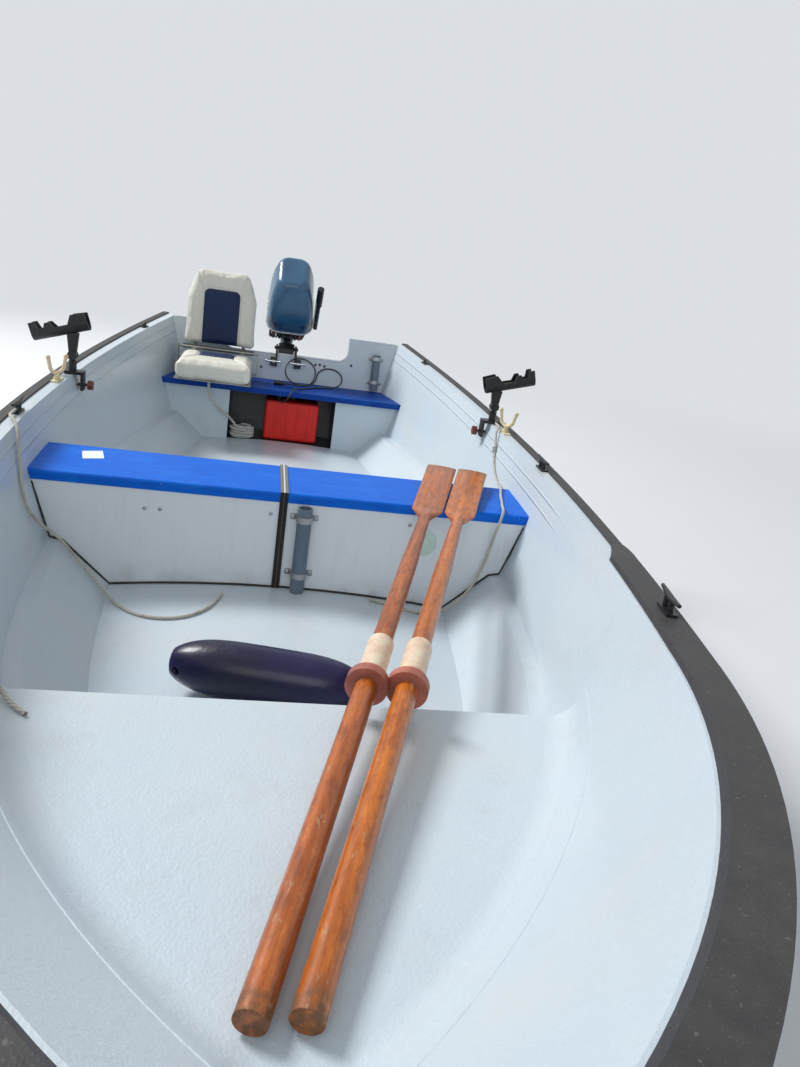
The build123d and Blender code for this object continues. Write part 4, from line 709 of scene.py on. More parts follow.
def as_shown(piece):
    """A mesh of what a piece looks like with its modifiers."""
    return bpy.data.meshes.new_from_object(piece.evaluated_get(bpy.context.evaluated_depsgraph_get()))


def settle(piece):
    """Make what the modifiers show the piece's own mesh."""
    shown = as_shown(piece)
    piece.modifiers.clear()
    piece.data = shown


fender_shape = bmesh.new()
fender_rings = []
for step in range(81):
    place = math.sin(math.pi / 2 * (step / 40 - 1))
    radius = max(fender_radius(abs(place)), 0.0035)
    fender_rings.append([fender_shape.verts.new((place * fender_half, radius * math.cos(turn),
                                                 radius * math.sin(turn))) for turn in full_turn(48)])
skin_over(fender_shape, fender_rings)
fender_body = add_shape("fender_body", fender_shape, vinyl, "boat")
for way in (-1, 1):
    drill_shape = bmesh.new()
    bmesh.ops.create_cone(drill_shape, segments=32, radius1=eye_r, radius2=eye_r, depth=0.2, cap_ends=True)
    drill_shape.transform(Matrix.Translation((way * eye_x, 0, 0)) @ Matrix.Rotation(math.pi / 2, 4, "X"))
    drill_mesh = bpy.data.meshes.new("drill")
    drill_shape.to_mesh(drill_mesh)
    drill = show("drill", drill_mesh)
    hole = fender_body.modifiers.new("eye", "BOOLEAN")
    hole.object = drill
    hole.operation = "DIFFERENCE"
    settle(fender_body)
    bpy.data.objects.remove(drill)
fender_body.data.transform(fender_at)
fender_body.data.shade_smooth()
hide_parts("fender")
lip_shape = bmesh.new()
for way in (-1, 1):
    for face in (-1, 1):
        middle = Vector((way * eye_x, face * fender_radius(eye_x / fender_half) * 0.86, 0))
        lip_rings = []
        for turn in full_turn(32):
            ring = []
            for tube in full_turn(8):
                out = lip_r + lip_thick * math.cos(tube)
                spot = Vector((out * math.cos(turn), lip_thick * math.sin(tube), out * math.sin(turn)))
                ring.append(lip_shape.verts.new(middle + spot))
            lip_rings.append(ring)
        skin_over(lip_shape, lip_rings, closed=True)
lip_shape.transform(fender_at)
add_shape("fender_lips", lip_shape, vinyl, "boat", smooth=True)

# Fuel tank: moulded red plastic with upright ribs. It stands loose in the boat, and its top is painted
# darker in soft patches, as shade.
tank_top = 0.297
tank = Finish("red plastic", Coat_Weight=0.05, Coat_Roughness=0.25, Specular_IOR_Level=0.35)
tank_cloud = tank.noise(16.0, 6.0)
tank.base = tank.mix(tank_cloud.rise(0.35, 0.75) * 0.6, colour(226, 40, 28), colour(198, 30, 24))
# Painted shade: the top of the tank is darkened to a grey-brown in soft patches.
tank_top_painted_shade = tank.z.rise(tank_top - 0.017, tank_top) * tank.noise(24.0, 6.0).rise(0.35, 0.7)
tank.over(tank_top_painted_shade * 0.5, colour(92, 70, 64))
tank.feed(Base_Color=tank.base, Roughness=0.40 + tank_cloud * 0.12)
tank.emboss(tank.noise(170.0, 3.0), 0.0005)
tank.cover("fuel_tank")

# Outboard: steel-blue enamelled cowl with a darker foot, on a pale rubber seal and a dark
# casting. The bracket and leg are black and grey enamel, chipped on their edges.
motor_tilt = math.radians(40.0)
tilt_pin = Vector((-2.05212, 0.0, 0.502))
pin_aft = 0.045
pin_up = 0.020
motor_up = Vector((math.sin(motor_tilt), 0.0, math.cos(motor_tilt)))
motor_fore = Vector((math.cos(motor_tilt), 0.0, -math.sin(motor_tilt)))


def motor_place(x, y, z):
    """A place given in the upright motor's own frame, from the notch, as it stands tilted."""
    place = tilt_pin + motor_fore * (x + pin_aft) + motor_up * (z - pin_up)
    return (place.x, y, place.z)


enamel = Finish("steel blue enamel", Coat_Weight=0.35, Coat_Roughness=0.1)
enamel_cloud = enamel.noise(5.0, 5.0)
cowl_foot = Vector(motor_place(0.0, 0.0, 0.148))
band_low = 0.012
band_high = 0.050
patch_y = 0.012
patch_half = 0.040
from_foot = enamel.node("VectorMath", {"operation": "SUBTRACT"}, {0: enamel.at, 1: cowl_foot})
height = enamel.node("VectorMath", {"operation": "DOT_PRODUCT"}, {0: from_foot, 1: motor_up}, out="Value")
enamel.base = enamel.mix(enamel_cloud.rise(0.3, 0.7), colour(34, 78, 110), colour(46, 96, 130))
band = height.rise(band_low, band_low + 0.004) * (1 - height.rise(band_high, band_high + 0.006))
enamel.over(band * 0.75, colour(18, 44, 74))
patch = band * (1 - abs(enamel.y - patch_y).rise(patch_half, patch_half + 0.006)) * height.rise(0.020, 0.024)
enamel.over(patch * 0.6, colour(54, 96, 120))
enamel_chips = enamel.noise(70.0, 6.0, rough=0.7).rise(0.64, 0.72)
enamel.over(enamel_chips * 0.3, colour(142, 162, 178))
enamel.feed(Base_Color=enamel.base, Roughness=0.28 + enamel_cloud * 0.1)
upper_shell = height.rise(band_high + 0.002, band_high + 0.008)
enamel.emboss(enamel.noise(240.0, 2.0) * 0.1 + upper_shell * 0.9, 0.0009)
enamel.cover("outboard_cowl")


def casting(name, first, second, rough):
    """Enamelled alloy with dusty corners and small chips."""
    cast = Finish(name, Specular_IOR_Level=0.5)
    cloud = cast.noise(18.0, 6.0)
    chips = cast.noise(110.0, 5.0, rough=0.7).rise(0.66, 0.72)
    shade = cast.mix(cloud.rise(0.35, 0.75), first, second)
    cast.feed(Base_Color=cast.mix(chips * 0.5, shade, colour(150, 152, 154)), Roughness=rough + cloud * 0.2,
              Metallic=chips * 0.6)
    return cast.emboss(cast.noise(260.0, 3.0), 0.0004)


casting("black enamel", colour(16, 17, 19), colour(34, 35, 37), 0.36).cover(
    "outboard_clamp", "outboard_swivel", "outboard_pan", "propeller", "outboard_tiller")
casting("grey enamel", colour(40, 52, 64), colour(58, 72, 86), 0.34).cover("outboard_leg")
pale_seal = speckled("pale seal", colour(196, 198, 194), colour(150, 152, 148), scale=60.0, detail=4.0,
                     span=(0.4, 0.7), rough=0.5)
pale_seal.cover("outboard_seal")
chrome = speckled("worn chrome", colour(206, 208, 210), colour(150, 148, 142), scale=120.0, detail=5.0,
                  span=(0.5, 0.75), rough=0.16, rougher=0.3, share=0.5, Metallic=1.0)
chrome.cover("clamp_screws")

# Cowl's lip: a pale rubber bead pressed all round the cowl's foot, where the cowl meets its
# seal
lip_middle_x = -0.185
lip_z = 0.1448
lip_half_long = 0.1535
lip_half_wide = 0.1140
lip_corner = 0.064
lip_bead = 0.0034
lip_points = []
for corner_x, corner_y, first in ((1, 1, 0), (-1, 1, 90), (-1, -1, 180), (1, -1, 270)):
    for step in range(7):
        turn = math.radians(first + 15 * step)
        lip_points.append(motor_place(
            lip_middle_x + corner_x * (lip_half_long - lip_corner) + lip_corner * math.cos(turn),
            corner_y * (lip_half_wide - lip_corner) + lip_corner * math.sin(turn), lip_z))
lip_line = bent_bar("cowl_lip", lip_points, lip_bead, smooth=False, closed=True)
add_piece("cowl_lip", lip_line, pale_seal, "motor")

# Intake housing: a ribbed box of black moulded plastic with rounded edges, under the cowl's
# front edge
housing_size = (0.050, 0.124, 0.060)
housing_x = -0.087
housing_z = 0.108
rib_size = (0.006, 0.005, 0.044)
rib_x = 0.0255
housing = bmesh.new()
bmesh.ops.create_cube(housing, size=1.0)
bmesh.ops.scale(housing, vec=housing_size, verts=housing.verts)
bmesh.ops.bevel(housing, geom=housing.edges[:], offset=0.010, segments=4, profile=0.5, affect="EDGES")
for rib_y in (-0.042, -0.014, 0.014, 0.042):
    rib = bmesh.ops.create_cube(housing, size=1.0)["verts"]
    bmesh.ops.scale(housing, vec=rib_size, verts=rib)
    bmesh.ops.translate(housing, vec=(rib_x, rib_y, 0.0), verts=rib)
housing_at = Matrix.Translation(motor_place(housing_x, 0.0, housing_z))
housing.transform(housing_at @ Matrix.Rotation(motor_tilt, 4, "Y"))
intake = speckled("intake plastic", colour(14, 14, 16), colour(52, 50, 50), scale=40.0, detail=6.0,
                  span=(0.4, 0.75), rough=0.5, rougher=0.2, share=0.6, grain=(300.0, 2.0, 0.0004),
                  Specular_IOR_Level=0.4)
add_shape("intake_housing", housing, intake, "motor")

# Pipes below the cowl: black rubber hoses, one of faded red and a chromed link, each bent down
# past the housing and back under the motor
black_pipe = speckled("engine hose", colour(22, 22, 24), colour(56, 56, 58), scale=90.0, detail=4.0,
                      span=(0.4, 0.7), rough=0.5)
red_pipe = speckled("red hose", colour(168, 92, 88), colour(124, 66, 64), scale=70.0, detail=4.0,
                    span=(0.4, 0.7), rough=0.45)
# Each pipe: place across the motor, how far it reaches forward, radius, finish
pipes = (
    (-0.088, 0.010, 0.0062, black_pipe), (-0.074, 0.022, 0.0066, black_pipe),
    (-0.060, 0.032, 0.0042, chrome), (-0.042, 0.024, 0.0066, black_pipe),
    (-0.026, 0.030, 0.0058, black_pipe), (0.018, 0.028, 0.0060, black_pipe),
    (0.036, 0.022, 0.0066, black_pipe), (0.056, 0.024, 0.0052, red_pipe),
    (0.067, 0.004, 0.0058, black_pipe), (0.076, -0.036, 0.0046, black_pipe))
for number, (y, reach, radius, finish) in enumerate(pipes):
    path = [motor_place(-0.052, y, 0.136), motor_place(-0.036 + reach * 0.5, y * 1.02, 0.128),
            motor_place(-0.040 + reach * 0.4, y * 0.98, 0.106), motor_place(-0.060, y * 0.9, 0.088),
            motor_place(-0.098, y * 0.8, 0.084)]
    pipe_line = bent_bar("engine_pipe", path, radius)
    add_piece("engine_pipe_%d" % number, pipe_line, finish, "motor")

# Cowl's latch: a pale rubber strap down the port side, hooked over a round stud near the
# cowl's foot
latch_y = 0.1145
latch_route = ((-0.075, 0.330), (-0.062, 0.290), (-0.058, 0.240), (-0.060, 0.180))
latch_path = [motor_place(x, latch_y, z) for x, z in latch_route]
add_piece("cowl_strap", bent_bar("cowl_strap", latch_path, 0.0028), pale_seal, "motor")
stud_place = motor_place(latch_route[-1][0], latch_y - 0.002, latch_route[-1][1])
fasteners("strap_stud", round_head(0.0065, 0.006), [(stud_place, (0, 1, 0))], pale_seal, "motor")

# Helm seat: foam pads under off-white vinyl with sewn panels of navy cloth, on a thin alloy
# frame that folds. The pads swell from a slightly smaller shape as stuffing fills them.
seat_middle = -0.325
threads = 4200


def vinyl_pad(name, middle, half, run_axis, run_from, run_to, corner):
    """Off-white vinyl with a rounded navy panel that runs along an axis of the seat."""
    skin = Finish(name, Coat_Weight=0.08, Coat_Roughness=0.3, Specular_IOR_Level=0.4)
    crease = skin.noise(30.0, 6.0, at=skin.stretched(1.0, 1.6, 1.0), rough=0.6)
    skin.base = skin.mix(crease.rise(0.5, 0.8) * 0.35, colour(222, 220, 208), colour(190, 187, 174))
    skin.over(skin.noise(7.0, 5.0).rise(0.5, 0.75) * 0.22, colour(170, 168, 160))
    run = {"x": skin.x, "z": skin.z}[run_axis]
    to_side = abs(skin.y - middle) - (half - corner)
    to_end = abs(run - (run_from + run_to) / 2) - ((run_to - run_from) / 2 - corner)
    outside = (to_side.most(0.0) ** 2 + to_end.most(0.0) ** 2) ** 0.5
    inside = 1 - outside.rise(corner - 0.0006, corner + 0.0006)
    weave = (skin.x * threads).sine() * (skin.y * threads).sine() * (skin.z * threads).sine()
    navy = skin.mix(weave * 0.5 + 0.5, colour(10, 30, 64), colour(18, 42, 84))
    skin.feed(Base_Color=skin.mix(inside, skin.base, navy), Roughness=0.46 + inside * 0.25)
    grainy = skin.noise(520.0, 3.0)
    return skin.emboss(grainy * 0.3 + crease * 0.7, 0.0009)


def swell(name, source, shrink, voxel, pressure, limit, rounds, raised=0.0):
    """A pad grown from a CAD solid: made smaller, its corners rounded, then blown out by cloth
    pressure. Each rounding is two axes, its centre on them, its radius, and how far a side leans."""
    low, high = [Vector(corner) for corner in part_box(source)]
    centre = (low + high) / 2
    size = high - low
    slim = [(edge - 2 * shrink) / edge for edge in size]
    slim[2] = (size.z - 2 * shrink - raised) / size.z
    data = nodes[source].data.copy()
    data.name = name
    data.transform(Matrix.Translation(centre + Vector((0, 0, raised / 2))) @ Matrix.Diagonal(slim).to_4x4()
                   @ Matrix.Translation(-centre))
    pad = show(name, data)
    remesh = pad.modifiers.new("remesh", "REMESH")
    remesh.mode = "VOXEL"
    remesh.voxel_size = voxel
    settle(pad)
    for first, second, centre_a, centre_b, radius, lean in rounds:
        for vertex in pad.data.vertices:
            spot = Vector((vertex.co[first] - centre_a, vertex.co[second] - centre_b))
            towards_a = spot.x * (centre_a - centre[first])
            towards_b = spot.y * (1 if centre_b > centre[second] else -1)
            if towards_a > 0 and towards_b > lean * spot.length and spot.length > radius:
                vertex.co[first] = centre_a + spot.x / spot.length * radius
                vertex.co[second] = centre_b + spot.y / spot.length * radius
    cloth = pad.modifiers.new("cloth", "CLOTH").settings
    cloth.quality = 4
    cloth.mass = 0.25
    cloth.tension_stiffness = 30
    cloth.compression_stiffness = 30
    cloth.use_pressure = True
    cloth.uniform_pressure_force = pressure
    cloth.effector_weights.gravity = 0
    before = [vertex.co.copy() for vertex in pad.data.vertices]
    for step in range(1, 21):
        scene.frame_set(step)
    settle(pad)
    for vertex, start in zip(pad.data.vertices, before):
        move = vertex.co - start
        if move.length > limit:
            vertex.co = start + move.normalized() * limit
    scene.frame_set(1)
    ease = pad.modifiers.new("ease", "SMOOTH")
    ease.factor = 0.5
    ease.iterations = 10
    settle(pad)
    return pad


def crease_along(pad, segments, width, depth, facing):
    """Pull the skin in along sewn lines, on the side that faces a direction."""
    pad.data.update()
    moved = []
    for vertex in pad.data.vertices:
        if vertex.normal.dot(facing) < 0.35:
            continue
        nearest = min(distance_to(vertex.co, start, end, facing) for start, end in segments)
        if nearest < width:
            moved.append((vertex.index, depth * (0.5 + 0.5 * math.cos(math.pi * nearest / width))))
    for index, pull in moved:
        pad.data.vertices[index].co -= facing * pull


def distance_to(point, start, end, facing):
    """Distance of a point to a straight seam, seen along a direction."""
    line = end - start
    share = max(0.0, min(1.0, (point - start).dot(line) / line.length_squared))
    gap = point - (start + line * share)
    return (gap - facing * gap.dot(facing)).length


def finish_pad(pad, finish, body, node):
    """Smooth and dress a finished pad, put it on its body and hide the CAD part it stands for."""
    pad.data.materials.clear()
    pad.data.materials.append(finish.material)
    smooth = pad.modifiers.new("soften", "SUBSURF")
    smooth.levels = 1
    smooth.render_levels = 1
    settle(pad)
    pad.data.shade_smooth()
    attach(pad, body)
    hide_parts(node)


back_low, back_high = [Vector(corner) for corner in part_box("seat_back_pad")]
back_shrink = 0.006
shoulder_r = 0.062
foot_r = 0.026
foot_raised = 0.014
shoulder_half = 0.1305
foot_half = 0.1765
shoulder_slope = 0.316
shoulder_lean = shoulder_slope / math.hypot(1, shoulder_slope)
shoulder_in = (math.hypot(1, shoulder_slope) - shoulder_slope) * shoulder_r + back_shrink
shoulder_z = back_high.z - back_shrink - shoulder_r
foot_in = back_shrink + foot_r
foot_z = back_low.z + foot_raised + back_shrink + foot_r
sides = (-1, 1)
back_rounds = []
for round_half, z, radius, lean in ((shoulder_half - shoulder_in, shoulder_z, shoulder_r, shoulder_lean),
                                    (foot_half - foot_in, foot_z, foot_r, 0.0)):
    back_rounds += [(1, 2, seat_middle + side * round_half, z, radius, lean) for side in sides]
back_pad = swell("seat_back_cover", "seat_back_pad", shrink=back_shrink, voxel=0.005, pressure=4.0,
                 limit=0.011, rounds=back_rounds, raised=foot_raised)
panel_half = 0.083
panel_top = back_high.z - 0.098
panel_low = back_low.z - 0.05
seam_end_half = 0.118
seam_end_z = back_high.z - 0.014
panel_corners = [Vector((back_high.x, seat_middle + side * panel_half, panel_top)) for side in sides]
panel_feet = [Vector((back_high.x, seat_middle + side * panel_half, back_low.z)) for side in sides]
shoulders = [Vector((back_high.x, seat_middle + side * seam_end_half, seam_end_z)) for side in sides]
seams = list(zip(panel_corners, panel_feet)) + list(zip(panel_corners, shoulders)) + [tuple(panel_corners)]
crease_along(back_pad, seams, width=0.011, depth=0.0075, facing=Vector((1, 0, 0)))
back_vinyl = vinyl_pad("back vinyl", seat_middle, panel_half, "z", panel_low, panel_top, corner=0.026)
finish_pad(back_pad, back_vinyl, "seat_back", "seat_back_pad")

# Cushion: the same foam and vinyl, its corners rounded in plan. The navy inset runs forward from
# the after edge, and two sewn lines go on from its corners to the front rim.
cushion_low, cushion_high = [Vector(corner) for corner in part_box("seat_cushion")]
plan_r = 0.040
plan_in = 0.008 + plan_r
cushion_half = 0.1825
cushion_rounds = [(0, 1, end - way * plan_in, seat_middle + side * (cushion_half - plan_in), plan_r, 0.0)
                  for end, way in ((cushion_low.x, -1), (cushion_high.x, 1)) for side in sides]
cushion = swell("seat_cushion_cover", "seat_cushion", shrink=0.007, voxel=0.006, pressure=4.0, limit=0.012,
                rounds=cushion_rounds)
inset_from = cushion_low.x - 0.03
inset_to = cushion_low.x + 0.185
inset_half = 0.080
inset_corners = ((-1, cushion_low.x), (-1, inset_to), (1, inset_to), (1, cushion_low.x))
inset = [Vector((x, seat_middle + side * inset_half, cushion_high.z)) for side, x in inset_corners]
rim_half = 0.165
rim_x = cushion_high.x - 0.02
rim = [Vector((rim_x, seat_middle + side * rim_half, cushion_high.z)) for side in sides]
stitched = list(zip(inset, inset[1:])) + list(zip(inset[1:3], rim))
crease_along(cushion, stitched, width=0.012, depth=0.008, facing=Vector((0, 0, 1)))
cushion_vinyl = vinyl_pad("cushion vinyl", seat_middle, inset_half, "x", inset_from, inset_to, corner=0.02)
finish_pad(cushion, cushion_vinyl, "boat", "seat_cushion")

# Seat's frame, band and blocks: bent thin alloy, a dull grey band across the foot of the back,
# and blocks of yellow pine that lift the seat off the stern thwart
alloy = speckled("thin alloy", colour(140, 140, 136), colour(176, 176, 172), scale=35.0, detail=5.0,
                 span=None, rough=0.34, rougher=0.2, Metallic=0.7)
alloy.cover("seat_base", "seat_back_frame")
band_x = -1.8532
band_z = 0.4815
band_half = 0.168
band_half_high = 0.011
band_corner = 0.005
band_thick = 0.0016
# Each corner: its side, up or down, and the angles of its rounding
band_corners = ((1, 1, (0, 45, 90)), (-1, 1, (90, 45, 0)), (-1, -1, (0, 45, 90)), (1, -1, (90, 45, 0)))
band_outline = [(seat_middle + side * (band_half - band_corner + band_corner * math.cos(turn)),
                 band_z + up * (band_half_high - band_corner + band_corner * math.sin(turn)))
                for side, up, turns in band_corners for turn in map(math.radians, turns)]
band_shape = bmesh.new()
skin_over(band_shape, [[band_shape.verts.new((x, y, z)) for y, z in band_outline]
                       for x in (band_x, band_x - band_thick)])
dull = Finish("dull grey band", Metallic=0.4)
dull_cloud = dull.noise(30.0, 6.0, at=dull.stretched(1.0, 0.3, 1.0))
dull.feed(Base_Color=dull.mix(dull_cloud.rise(0.3, 0.7), colour(92, 92, 86), colour(122, 120, 110)),
          Roughness=0.45 + dull_cloud * 0.15)
add_shape("seat_band", band_shape, dull, "seat_back")
pine = Finish("yellow pine", Roughness=0.6)
pine_grain = pine.noise(30.0, 5.0, at=pine.stretched(0.4, 4.0, 4.0))
pine.feed(Base_Color=pine.mix(pine_grain.rise(0.3, 0.7), colour(224, 184, 108), colour(188, 142, 70)))
pine.emboss(pine_grain, 0.0006)
pine.cover("seat_blocks")

# Ropes: cream three-strand line, loosely laid. One starts at each starboard cleat, and the port
# one at its rod holder. The port one has a knot and is led over the middle thwart.


def lay(name, points, diameter, finish, slot, *stands_for):
    """One cord as a smooth line led by the points of its route, in metres, in place of CAD pieces."""
    line = bent_bar(name, points, diameter / 2)
    line.bevel_resolution = 4
    line.resolution_u = 6
    line.materials.append(finish.material)
    piece = show(name, line)
    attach(piece, "boat")
    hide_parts(*stands_for)
    return piece


def spline_length(points):
    """Length of the smooth line that lay() makes, in metres."""
    line = bent_bar("measure", points, 0.0)
    line.resolution_u = 12
    probe = show("measure", line)
    mesh = as_shown(probe)
    length = sum((mesh.vertices[edge.vertices[0]].co - mesh.vertices[edge.vertices[1]].co).length
                 for edge in mesh.edges)
    bpy.data.objects.remove(probe)
    return length


def twisted(name, light, dark, diameter, length):
    """Rope of three strands, each turn of the lay about three diameters long."""
    yarn = Finish(name, Sheen_Weight=0.2)
    along = yarn.node("SeparateXYZ", {}, {0: yarn.node("TexCoord", out="UV")}, out="X")
    around = yarn.node("SeparateXYZ", {}, {0: yarn.node("TexCoord", out="UV")}, out="Y")
    strands = ((along * (length / (diameter * 3.2)) + around) * (2 * math.pi * 3)).sine() * 0.5 + 0.5
    fuzz = yarn.noise(900.0, 3.0)
    soil = yarn.noise(35.0, 6.0).rise(0.45, 0.75)
    shade = yarn.mix(soil * 0.6, light, dark)
    # Painted shade: the grooves between the strands are darkened.
    yarn.feed(Base_Color=yarn.mix((1 - strands) * 0.55, shade, dark), Roughness=0.85)
    return yarn.emboss(strands * 0.8 + fuzz * 0.2, diameter * 0.12)


rope_size = 0.008
knot_at = Vector((-0.4790, 0.711, 0.449))
knot_turns = 3
knot_long = 0.022
knot_r = 0.0066
knot_strand = 0.0036
routes = {
    "rope_starboard": (
        (-0.0588, -0.745, 0.503), (-0.028, -0.746, 0.500), (0.006, -0.742, 0.503), (0.042, -0.728, 0.507),
        (0.077, -0.706, 0.500), (0.104, -0.693, 0.474), (0.130, -0.686, 0.440), (0.165, -0.673, 0.404),
        (0.200, -0.659, 0.366), (0.207, -0.647, 0.328), (0.184, -0.636, 0.290), (0.146, -0.628, 0.258),
        (0.110, -0.620, 0.234), (0.107, -0.588, 0.206), (0.120, -0.559, 0.180), (0.136, -0.499, 0.119),
        (0.184, -0.450, 0.084), (0.258, -0.399, 0.089), (0.299, -0.347, 0.0942), (0.311, -0.294, 0.0986),
        (0.298, -0.240, 0.1023), (0.251, -0.196, 0.1048), (0.202, -0.177, 0.1057), (0.152, -0.163, 0.1063)),
    "rope_port": (
        (-0.6396, 0.744, 0.510), (-0.606, 0.744, 0.510), (-0.573, 0.740, 0.5115), (-0.542, 0.727, 0.514),
        (-0.516, 0.714, 0.503), (-0.500, 0.714, 0.478), (-0.479, 0.711, 0.449), (-0.446, 0.702, 0.423),
        (-0.405, 0.695, 0.402), (-0.350, 0.689, 0.386), (-0.296, 0.684, 0.378), (-0.250, 0.676, 0.384),
        (-0.212, 0.668, 0.396), (-0.176, 0.660, 0.395), (-0.139, 0.652, 0.3898), (-0.090, 0.637, 0.3896),
        (-0.040, 0.629, 0.3896), (0.008, 0.616, 0.3898), (0.046, 0.608, 0.394), (0.078, 0.600, 0.400),
        (0.097, 0.594, 0.384), (0.096, 0.588, 0.352), (0.090, 0.583, 0.312), (0.087, 0.577, 0.266),
        (0.089, 0.565, 0.215), (0.097, 0.544, 0.162), (0.122, 0.502, 0.124), (0.126, 0.470, 0.095),
        (0.138, 0.430, 0.0862), (0.152, 0.388, 0.0904), (0.127, 0.318, 0.0968), (0.105, 0.248, 0.1018)),
    "rope_bow": (
        (0.9853, -0.6241, 0.531), (0.9853, -0.604, 0.531), (0.981, -0.585, 0.520), (0.977, -0.574, 0.494),
        (0.972, -0.565, 0.458), (0.969, -0.556, 0.417), (0.966, -0.546, 0.375), (0.964, -0.533, 0.335),
        (0.963, -0.511, 0.300), (0.973, -0.483, 0.277), (1.006, -0.460, 0.271), (1.032, -0.429, 0.2696)),
}
for name, points in routes.items():
    length = spline_length(points)
    yarn = twisted("cream rope " + name, colour(206, 202, 188), colour(128, 124, 114), rope_size, length)
    rope = lay(name + "_line", points, rope_size, yarn, "rope", name)
    if name == "rope_port":
        run = (Vector(points[7]) - Vector(points[5])).normalized()
        side = run.cross(Vector((0, 1, 0))).normalized()
        over = run.cross(side)
        wraps = []
        for share in [step / 36 for step in range(37)]:
            turn = share * knot_turns * 2 * math.pi
            round_rope = (side * math.cos(turn) + over * math.sin(turn)) * knot_r
            wraps.append(knot_at + run * knot_long * (0.5 - share) + round_rope)
        knot = bent_bar("port_knot", wraps, knot_strand)
        add_piece("port_knot", knot, yarn, "boat")

# Anchor line: a thicker grey rope of three strands, led from the thwart down under the seat to a
# hank of loose oval turns: an outer pile that goes down, then an inner one that comes up again
line_size = 0.012
hank_middle = Vector((-1.700, -0.181, 0.0))
hank_floor = 0.1013
line_points = [
    (-1.600, -0.345, 0.3808), (-1.600, -0.345, 0.342), (-1.603, -0.337, 0.302), (-1.616, -0.314, 0.264),
    (-1.638, -0.284, 0.234), (-1.656, -0.259, 0.214), (-1.666, -0.238, 0.193), (-1.6725, -0.220, 0.174)]
turn_points = 14
first_point = 4
hank_start = -2.4
# Each turn: half length, half width, shift forward, shift to port, height of its middle, tilt
hank_turns = (
    (0.052, 0.030, 0.000, 0.001, 0.0600, 0.002), (0.054, 0.031, 0.002, -0.002, 0.0475, -0.002),
    (0.050, 0.029, -0.002, 0.002, 0.0345, 0.002), (0.054, 0.031, 0.001, 0.000, 0.0215, 0.001),
    (0.051, 0.030, -0.001, 0.001, 0.0085, 0.000), (0.035, 0.0180, 0.001, -0.002, 0.0088, 0.000),
    (0.033, 0.0184, -0.001, 0.002, 0.0220, -0.001), (0.035, 0.0178, 0.000, 0.000, 0.0350, 0.002),
    (0.033, 0.0182, 0.001, -0.001, 0.0480, -0.001), (0.036, 0.0190, 0.002, 0.004, 0.0620, 0.004))
for number, (before, after) in enumerate(zip(hank_turns, hank_turns[1:])):
    for step in range(first_point if number == 0 else 0, turn_points):
        share = step / turn_points
        half_long, half_wide, fore, port, level, tilt = [
            first + (second - first) * share for first, second in zip(before, after)]
        turn = hank_start + 2 * math.pi * share
        line_points.append((hank_middle.x + fore + half_wide * math.cos(turn),
                            hank_middle.y + port + half_long * math.sin(turn),
                            hank_floor + level + tilt * math.sin(turn)))
line_length = spline_length(line_points)
line_yarn = twisted("grey line", colour(206, 206, 198), colour(120, 120, 114), line_size, line_length)
grey_line = lay("anchor_line_whole", line_points, line_size, line_yarn, "anchor_rope", "anchor_line",
                "anchor_hank")

# Fuel hose: black rubber, pushed on the tank's union. It climbs to the stern thwart, where it
# lies in loose loops and ends in its connector.
hose_size = 0.007
hose_points = (
    (-1.7058, -0.020, 0.3075), (-1.676, -0.020, 0.3075), (-1.643, -0.010, 0.303), (-1.613, 0.006, 0.311),
    (-1.601, 0.020, 0.336), (-1.611, 0.032, 0.361), (-1.640, 0.042, 0.374), (-1.673, 0.052, 0.372),
    (-1.706, 0.064, 0.361), (-1.755, 0.092, 0.3592), (-1.806, 0.138, 0.359), (-1.846, 0.190, 0.359),
    (-1.862, 0.251, 0.361), (-1.889, 0.287, 0.384), (-1.928, 0.287, 0.418), (-1.953, 0.251, 0.441),
    (-1.953, 0.199, 0.441), (-1.928, 0.162, 0.418), (-1.893, 0.158, 0.384), (-1.868, 0.134, 0.363),
    (-1.853, 0.104, 0.360), (-1.850, 0.046, 0.360), (-1.876, 0.001, 0.394), (-1.914, 0.001, 0.442),
    (-1.939, 0.044, 0.476), (-1.939, 0.106, 0.476), (-1.912, 0.150, 0.442), (-1.872, 0.150, 0.398),
    (-1.838, 0.124, 0.363), (-1.822, 0.084, 0.3592), (-1.810, 0.046, 0.3643), (-1.808, 0.012, 0.3643))
black_hose = speckled("black hose", colour(16, 16, 17), colour(62, 62, 62), scale=60.0, detail=5.0,
                      span=(0.45, 0.8), rough=0.45, rougher=0.2, share=0.5, Coat_Weight=0.1)
hose_length = spline_length(hose_points)
hose = lay("fuel_hose_line", hose_points, hose_size, black_hose, "hose", "fuel_hose")

# Studio: a pale floor that runs into a pale world, one large soft lamp high on the starboard
# side as the sun was, and a weak one from ahead.
backdrop_shade = colour(232, 236, 240)
backdrop_level = 0.88
light_level = 0.48


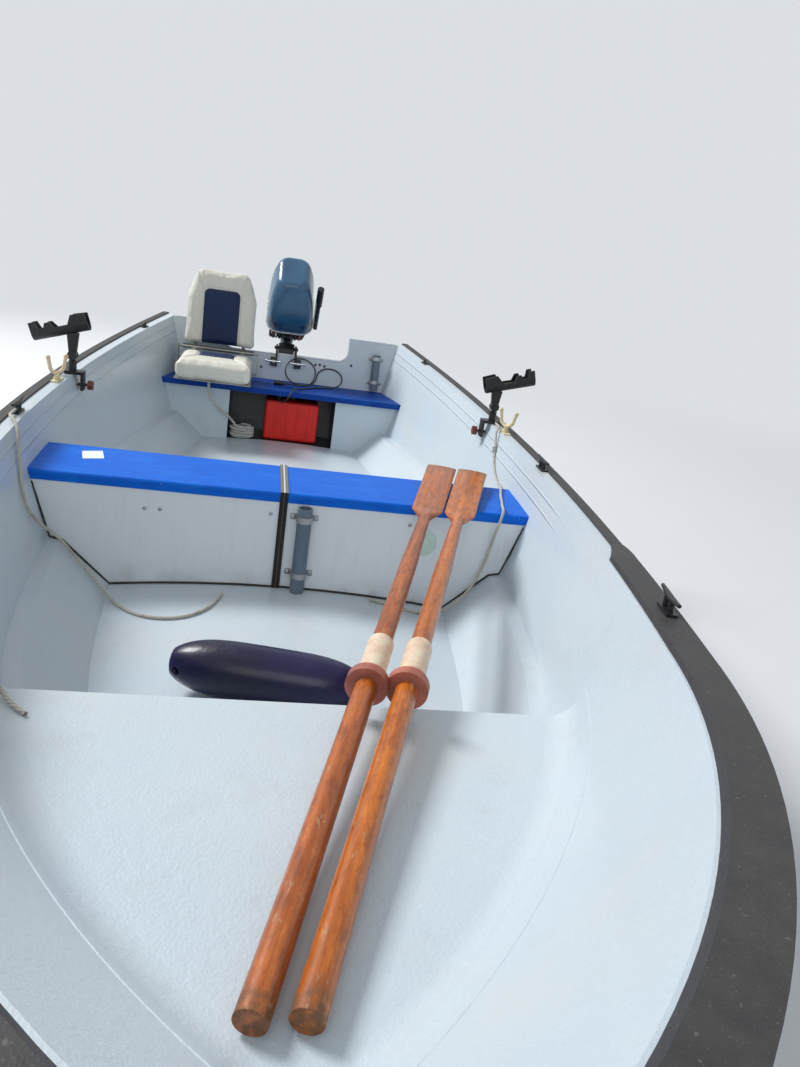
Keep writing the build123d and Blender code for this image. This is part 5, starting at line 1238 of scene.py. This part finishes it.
def looked_at(dress):
    """1 for what the camera, a reflection or clear glass sees, 0 for what only lights the object."""
    camera, glossy, through = [dress.node("LightPath", out=ray) for ray in (
        "Is Camera Ray", "Is Glossy Ray", "Is Transmission Ray")]
    return camera.most(glossy).most(through)


floor_finish = Finish("studio floor", Roughness=0.9, Specular_IOR_Level=0.2)
floor_grain = floor_finish.noise(3.0, 3.0)
floor_finish.feed(Base_Color=floor_finish.mix(floor_grain, colour(226, 228, 230), colour(222, 224, 227)))
far = (floor_finish.x ** 2 + floor_finish.y ** 2) ** 0.5
glow = floor_finish.node("Emission", {}, {"Color": backdrop_shade, "Strength": backdrop_level})
laid = floor_finish.node("MixShader", {}, {0: far.rise(2.6, 7.5) * looked_at(floor_finish),
                                           1: Wire(floor_finish, floor_finish.shader.outputs[0]), 2: glow})
floor_finish.tree.links.new(laid.socket, floor_finish.tree.nodes["Material Output"].inputs["Surface"])
floor_mesh = bpy.data.meshes.new("floor")
floor_shape = bmesh.new()
bmesh.ops.create_grid(floor_shape, x_segments=2, y_segments=2, size=60.0)
floor_shape.to_mesh(floor_mesh)
floor_mesh.materials.append(floor_finish.material)
show("floor", floor_mesh)


def lamp(name, place, aim, size, power):
    """A square soft lamp that faces a point."""
    light = bpy.data.lights.new(name, "AREA")
    light.size = size
    light.energy = power
    holder = show(name, light)
    holder.location = place
    holder.rotation_mode = "QUATERNION"
    holder.rotation_quaternion = (Vector(aim) - Vector(place)).to_track_quat("-Z", "Y")


lamp("key", place=(-5.12, -8.07, 9.61), aim=(0.2, 0.1, 0.3), size=3.8, power=1800.0)
lamp("front", place=(6.0, -1.0, 4.0), aim=(-0.5, 0.0, 0.3), size=3.0, power=60.0)


class Backdrop(Finish):
    """The world's light, built with the same expressions."""

    def __init__(self, world):
        self.tree = world.node_tree
        self.shader = self.tree.nodes["Background"]


world = bpy.data.worlds.new("studio")
world.use_nodes = True
sky = Backdrop(world)
sky.feed(Color=backdrop_shade, Strength=light_level + looked_at(sky) * (backdrop_level - light_level))
scene.world = world
scene.view_settings.view_transform = "Standard"
